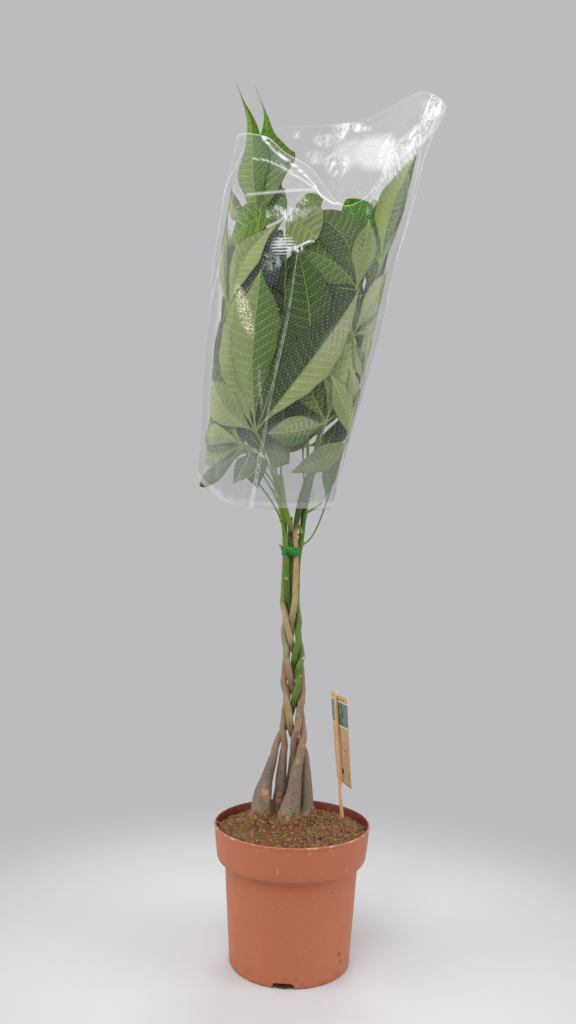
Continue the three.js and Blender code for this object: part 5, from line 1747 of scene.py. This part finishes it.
def wood_finish():
    finish = Finish("label_wood", Specular_IOR_Level=0.3)
    grain = finish.noise(300, 5, finish.place((1, 1, 0.05)), 0.6, 0.4)
    tone = finish.mix(finish.span(grain, 0.3, 0.7), srgb(208, 168, 120), srgb(234, 200, 152))
    return finish.wear(Base_Color=tone, Roughness=0.7, Normal=finish.bump(grain, 0.3, 0.0004))


def make_stick():
    """A bar with a pointed foot and a slightly wider head."""
    width, head, top = STICK["width"], STICK["head_width"], LABEL_LENGTH
    levels = [(0.5, 0.55 * width), *[(h, width) for h in (6, *range(16, 200, 12), top - 12.5)],
              (top - STICK["head_length"], head - 0.1), (top - 8, head), (top - 0.8, head),
              (top - 0.1, head - 0.8)]
    points, faces = loft([[(x, y, height) for x, y in rounded_section(
        wide, STICK["thickness"], STICK["corner"])] for height, wide in levels])
    pile = Pile()
    pile.add(stand_label(points), faces)
    return pile.make("label_stick_wood", wood_finish())


finish_piece(make_stick(), "label_stick", "label_stick")

# %% Label card
CARD = {"width": 64, "thickness": 0.5, "length": 125, "below": 6, "aside": 2.0}
CARD_TILT = radians(1.3)  # its lower end stands off the stick
CARD_SKEW = radians(2.2)  # it hangs level, not square to the leaning stick
CARD_TWIST = radians(-3)  # from its top to its bottom
HEADER, PICTURE = 8.5, 43  # where the picture starts and ends, from the top


def on_card(u, v, depth):
    """A place on the card: u across from its middle, v down from its top, depth behind it."""
    x, y, z = u + CARD["aside"], depth + 0.004 * np.abs(u / 4)**3, -v
    x, z = (x * cos(CARD_SKEW) + z * sin(CARD_SKEW),
            z * cos(CARD_SKEW) - x * sin(CARD_SKEW))
    y, z = (y * cos(CARD_TILT) - z * sin(CARD_TILT),
            y * sin(CARD_TILT) + z * cos(CARD_TILT))
    y = y + STICK["thickness"] / 2 + GAP
    twist = CARD_TWIST * v / CARD["length"]
    x, y = x * np.cos(twist) - y * np.sin(twist), x * np.sin(twist) + y * np.cos(twist)
    return np.stack(np.broadcast_arrays(x, y, z + LABEL_LENGTH - CARD["below"]), -1)


print("label:", round(LABEL_LENGTH), "mm")


# %% What is printed on the card
class Print:
    """Flat shapes for a shader, each 1 where its ink is, in the card's own millimetres."""

    LINE = 0.35  # how wide the lines are printed

    def __init__(self, finish, u, v):
        self.finish, self.u, self.v = finish, u, v

    def box(self, u, v, half_u, half_v):
        finish = self.finish
        return finish.times(finish.maths("LESS_THAN", finish.apart(self.u, u), half_u),
                            finish.maths("LESS_THAN", finish.apart(self.v, v), half_v))

    def frame(self, u, v, half_u, half_v):
        return self.finish.maths("SUBTRACT", self.box(u, v, half_u, half_v),
                                 self.box(u, v, half_u - self.LINE, half_v - self.LINE))

    def ring(self, u, v, radius):
        maths = self.finish.maths
        off_u, off_v = maths("SUBTRACT", self.u, u), maths("SUBTRACT", self.v, v)
        away = maths("SQRT", maths("ADD", maths("MULTIPLY", off_u, off_u),
                                   maths("MULTIPLY", off_v, off_v)))
        return maths("LESS_THAN", self.finish.apart(away, radius), self.LINE)

    def all(self, shapes):
        total = 0.0
        for shape in shapes:
            total = self.finish.most(total, shape)
        return total


def card_finish():
    """Kraft card printed with a band of leaves and bare brown shapes."""
    finish = Finish("kraft_card", Roughness=0.75, Specular_IOR_Level=0.3)
    place, u, v = finish.flat_map("print")
    ink = Print(finish, u, v)
    flecks = finish.noise(500, 4)
    kraft = finish.mix(finish.span(flecks, 0.35, 0.65), srgb(206, 172, 128), srgb(224, 192, 148))
    thin = ink.all([
        ink.frame(10, 52, 8, 5), ink.frame(16, 70, 9, 7), ink.ring(14, 70, 4),
        ink.ring(16, 90, 8), ink.ring(16, 90, 4.5),
        *(ink.box(15, line, 13, 0.25) for line in (104, 107.5, 111, 114.5)),
        *(ink.box(line, 80, 0.3, 32) for line in (-15, -18.5, -22, -25.5))])
    tone = finish.mix(finish.times(thin, 0.7), kraft, srgb(112, 78, 48))
    dark = ink.all([ink.box(18, 76, 1.6, 1.6), ink.box(4, 108, 4, 3.5)])
    tone = finish.mix(finish.times(dark, 0.85), tone, srgb(66, 54, 44))
    # leaves that fan down from the middle of the picture's top
    off_u = finish.maths("SUBTRACT", u, 7)
    spread = finish.maths("ARCTAN2", off_u, finish.maths("SUBTRACT", v, 4))
    flat = finish.node("CombineXYZ", {0: finish.times(spread, 7), 1: finish.times(
        v, 0.09)}).outputs[0]
    blades = finish.noise(1.5, 3, flat, 0.6, 0.5)
    middle = finish.maths("ADD", finish.maths("ABSOLUTE", off_u), finish.times(blades, 14))
    leafy = finish.mix(finish.span(blades, 0.38, 0.62), srgb(40, 72, 48), srgb(136, 168, 124))
    picture = finish.mix(finish.span(middle, 15, 20), leafy, srgb(132, 144, 150))
    far_leaf = finish.span(finish.noise(0.22, 3, place), 0.5, 0.6)
    picture = finish.mix(finish.times(finish.maths("LESS_THAN", u, -12), far_leaf),
                         picture, srgb(66, 92, 84))
    half = (PICTURE - HEADER) / 2
    tone = finish.mix(ink.box(0, HEADER + half, 32, half + 0.9), tone, srgb(232, 230, 222))
    tone = finish.mix(ink.box(0, HEADER + half, 30.8, half - 0.9), tone, picture)
    tone = finish.mix(ink.box(0, HEADER / 2 + 1, 22, 1.1), tone, srgb(186, 132, 88))
    tone = finish.mix(ink.box(31.6, 60, 0.8, 66), tone, srgb(236, 226, 204))
    return finish.wear(Base_Color=tone, Normal=finish.bump(flecks, 0.25, 0.0003))


print("picture:", PICTURE - HEADER, "mm high")


# %% Card mesh
def make_card():
    across = np.linspace(-CARD["width"] / 2, CARD["width"] / 2, 34)
    rings, flat = [], []
    for down in np.linspace(CARD["length"], 0, 60):
        front, back = on_card(across, down, 0.0), on_card(across, down, CARD["thickness"])
        rings.append(np.concatenate([front, back[::-1]]))
        flat.append([(u, down) for u in across] + [(u, -60.0) for u in across[::-1]])
    points, faces = loft(rings)
    pile = Pile(print=2)
    pile.add(stand_label(points), faces,
             print=np.vstack([np.array(flat).reshape(-1, 2), [[0, -60], [0, -60]]]))
    return pile.make("label_kraft_card", card_finish())


finish_piece(make_card(), "label_card", "label_card")

# %% [markdown]
# ## Small dressing
# Buds, old leaf stumps and dry twiglets stand off the upper stems, and dried stipules hang
# like cream threads in the crown. Each is a short tapering tube.

# %% Buds and twiglets
TWIG_TONES = {"green": srgb(120, 158, 44), "bright": srgb(138, 178, 40),
              "brown": srgb(120, 88, 66), "pale": srgb(176, 160, 128), "rust": srgb(140, 76, 48)}
TWIGS = [  # stem, tone, then points x, z, forward of the stem's axis, radius
    (2, "brown", [(-2.4, 553, 0, 0.6), (-0.4, 562, 0, 0.8), (1.4, 571, 1, 0.8)]),
    (2, "brown", [(-1.6, 572.5, 1, 0.5), (-0.6, 574, 1, 1.3), (1.4, 574.6, 1, 1.2),
                  (2.4, 574.6, 1, 0.5)]),
    (2, "bright", [(6.0, 573, 1, 1.2), (4.0, 578, 2, 2.6), (2.4, 583, 2, 2.3),
                   (1.6, 587.5, 2, 1.0)]),
    (2, "green", [(6, 597, 1, 1.5), (8.5, 603, 1, 1.9), (18, 609, 1, 1.4), (31.7, 618.7, 0, 1.2)]),
    (2, "rust", [(11.6, 634, 2, 0.6), (14.5, 629, 4, 0.5), (19.6, 625.5, 5, 0.3)]),
    (2, "rust", [(12.5, 632, 2, 0.5), (17, 633.5, 4, 0.4), (20, 631.5, 5, 0.25)]),
    (1, "pale", [(-15.6, 517, 2, 0.7), (-16.3, 513.6, 4.6, 0.8), (-14.4, 512.6, 4.9, 0.8),
                 (-13.2, 514.4, 4.4, 0.5)]),
    ("side", "bright", [(-26, 622, 0, 1.0), (-30, 629, 1, 1.6), (-35, 634, 1, 1.7),
                        (-38, 637.5, 1, 0.6)]),
    ("side", "green", [(-21, 607, 1, 1.0), (-18.5, 610, 2, 1.5), (-16.5, 614, 2, 0.6)]),
    (5, "pale", [(-22.5, 556, 1, 1.3), (-24.6, 558.6, 1, 1.4), (-25.4, 560.6, 1, 0.6)]),
]


def beside(number, x, z, forward):
    """The point at a stem's depth, or forward of it, that shows at x and z from the front."""
    y = on_stem(number, z)[0][1] - forward
    nearness = 1 + y / EYE["distance"]
    return [EYE["x"] + (x - EYE["x"]) * nearness, y, EYE["z"] + (z - EYE["z"]) * nearness]


def make_twigs():
    pile = Pile(tint=4)
    for number, tone, line in TWIGS:
        steps, path = line_through([[*beside(number, *place), radius] for *place, radius in line],
                                   26)
        curl = np.array([[rough((s, number == 2, j), 0.6) for j in (0, 9, 18)] for s in steps])
        radius = np.maximum(path[:, 3], 0.2)
        rings = tube_rings(path[:, :3] + 0.25 * curl, radius, 10)
        pile.add(*loft(rings), tint=TWIG_TONES[tone])
    finish = Finish("twig_skin", Roughness=0.6)
    tint = finish.read("tint").outputs["Color"]
    shade = finish.mix(1, tint, (0.6, 0.6, 0.55, 1), "MULTIPLY")
    bark = finish.noise(500, 4)
    tone = finish.mix(finish.span(bark, 0.35, 0.65), shade, tint)
    return pile.make("stem_twigs", finish.wear(Base_Color=tone,
                                               Normal=finish.bump(bark, 0.4, 0.0004)))


finish_piece(make_twigs(), "stem")

# %% Peat fibres that cling to the stems' feet
def make_foot_fibres():
    """Short curls that start in the peat round each foot and lean up against it."""
    pile = Pile()
    rng = random.Random(12)
    for number in range(1, 6):
        for k in range(110):
            aim = outward(rng.uniform(pi, 2 * pi))[0][:2]
            low, high = rng.uniform(1.05, 1.6), rng.uniform(1.0, 1.12)
            axis, radius = on_stem(number, 192)
            x, y = axis[:2] + aim * radius * low
            floor = float(soil_height(x, y)) + peat_lift(x, y, 0)
            rise = rng.uniform(3, 13)
            axis, radius = on_stem(number, floor + rise)
            top = [*(axis[:2] + aim * radius * high), floor + rise]
            steps = np.linspace(0, 1, 8)[:, None]
            path = np.array([x, y, floor - 1]) * (1 - steps) + np.array(top) * steps
            curl = [[rough((5 * s, number, k + 9 * j), 1.6) for j in range(3)]
                    for s in steps[:, 0]]
            pile.add(*loft(tube_rings(path + 2.2 * np.array(curl), rng.uniform(0.18, 0.4), 4)))
    return pile.make("foot_fibres", fibre_coat)


finish_piece(make_foot_fibres(), "soil")

# %% Dried threads
THREADS = [  # x, z, inset as they show from the front
    [(-68, 693, 4), (-73, 676, 3.5), (-82, 660, 3), (-84, 645, 3), (-78, 652, 3.4)],
    [(-64, 692, 4), (-58, 684, 3.4), (-60, 674, 3), (-55, 664, 3.2), (-60, 657, 3)],
    [(-66, 690, 4.4), (-52, 683, 3.6), (-46, 682, 3), (-50, 677, 3.4), (-57, 668, 3)],
    [(-60, 664, 3), (-66, 657, 3.2), (-73, 651, 3), (-80, 640, 3), (-84, 634, 3)],
]


def make_threads():
    pile = Pile()
    for k, line in enumerate(THREADS):
        steps, path = line_through([wrap(*seen_at(*place)) for place in line], 46)
        curl = np.array([[rough((s, k, j), 0.35) for j in (0, 9, 18)] for s in steps])
        radius = 0.34 * (1.1 - steps / len(line)) + 0.12
        pile.add(*loft(tube_rings(path + 1.3 * curl, radius, 6)))
    finish = Finish("dried_stipule", Roughness=0.7)
    tone = finish.mix(finish.noise(400), srgb(206, 190, 140), srgb(238, 228, 192))
    return pile.make("dried_threads", finish.wear(Base_Color=tone))


finish_piece(make_threads(), "leaf")
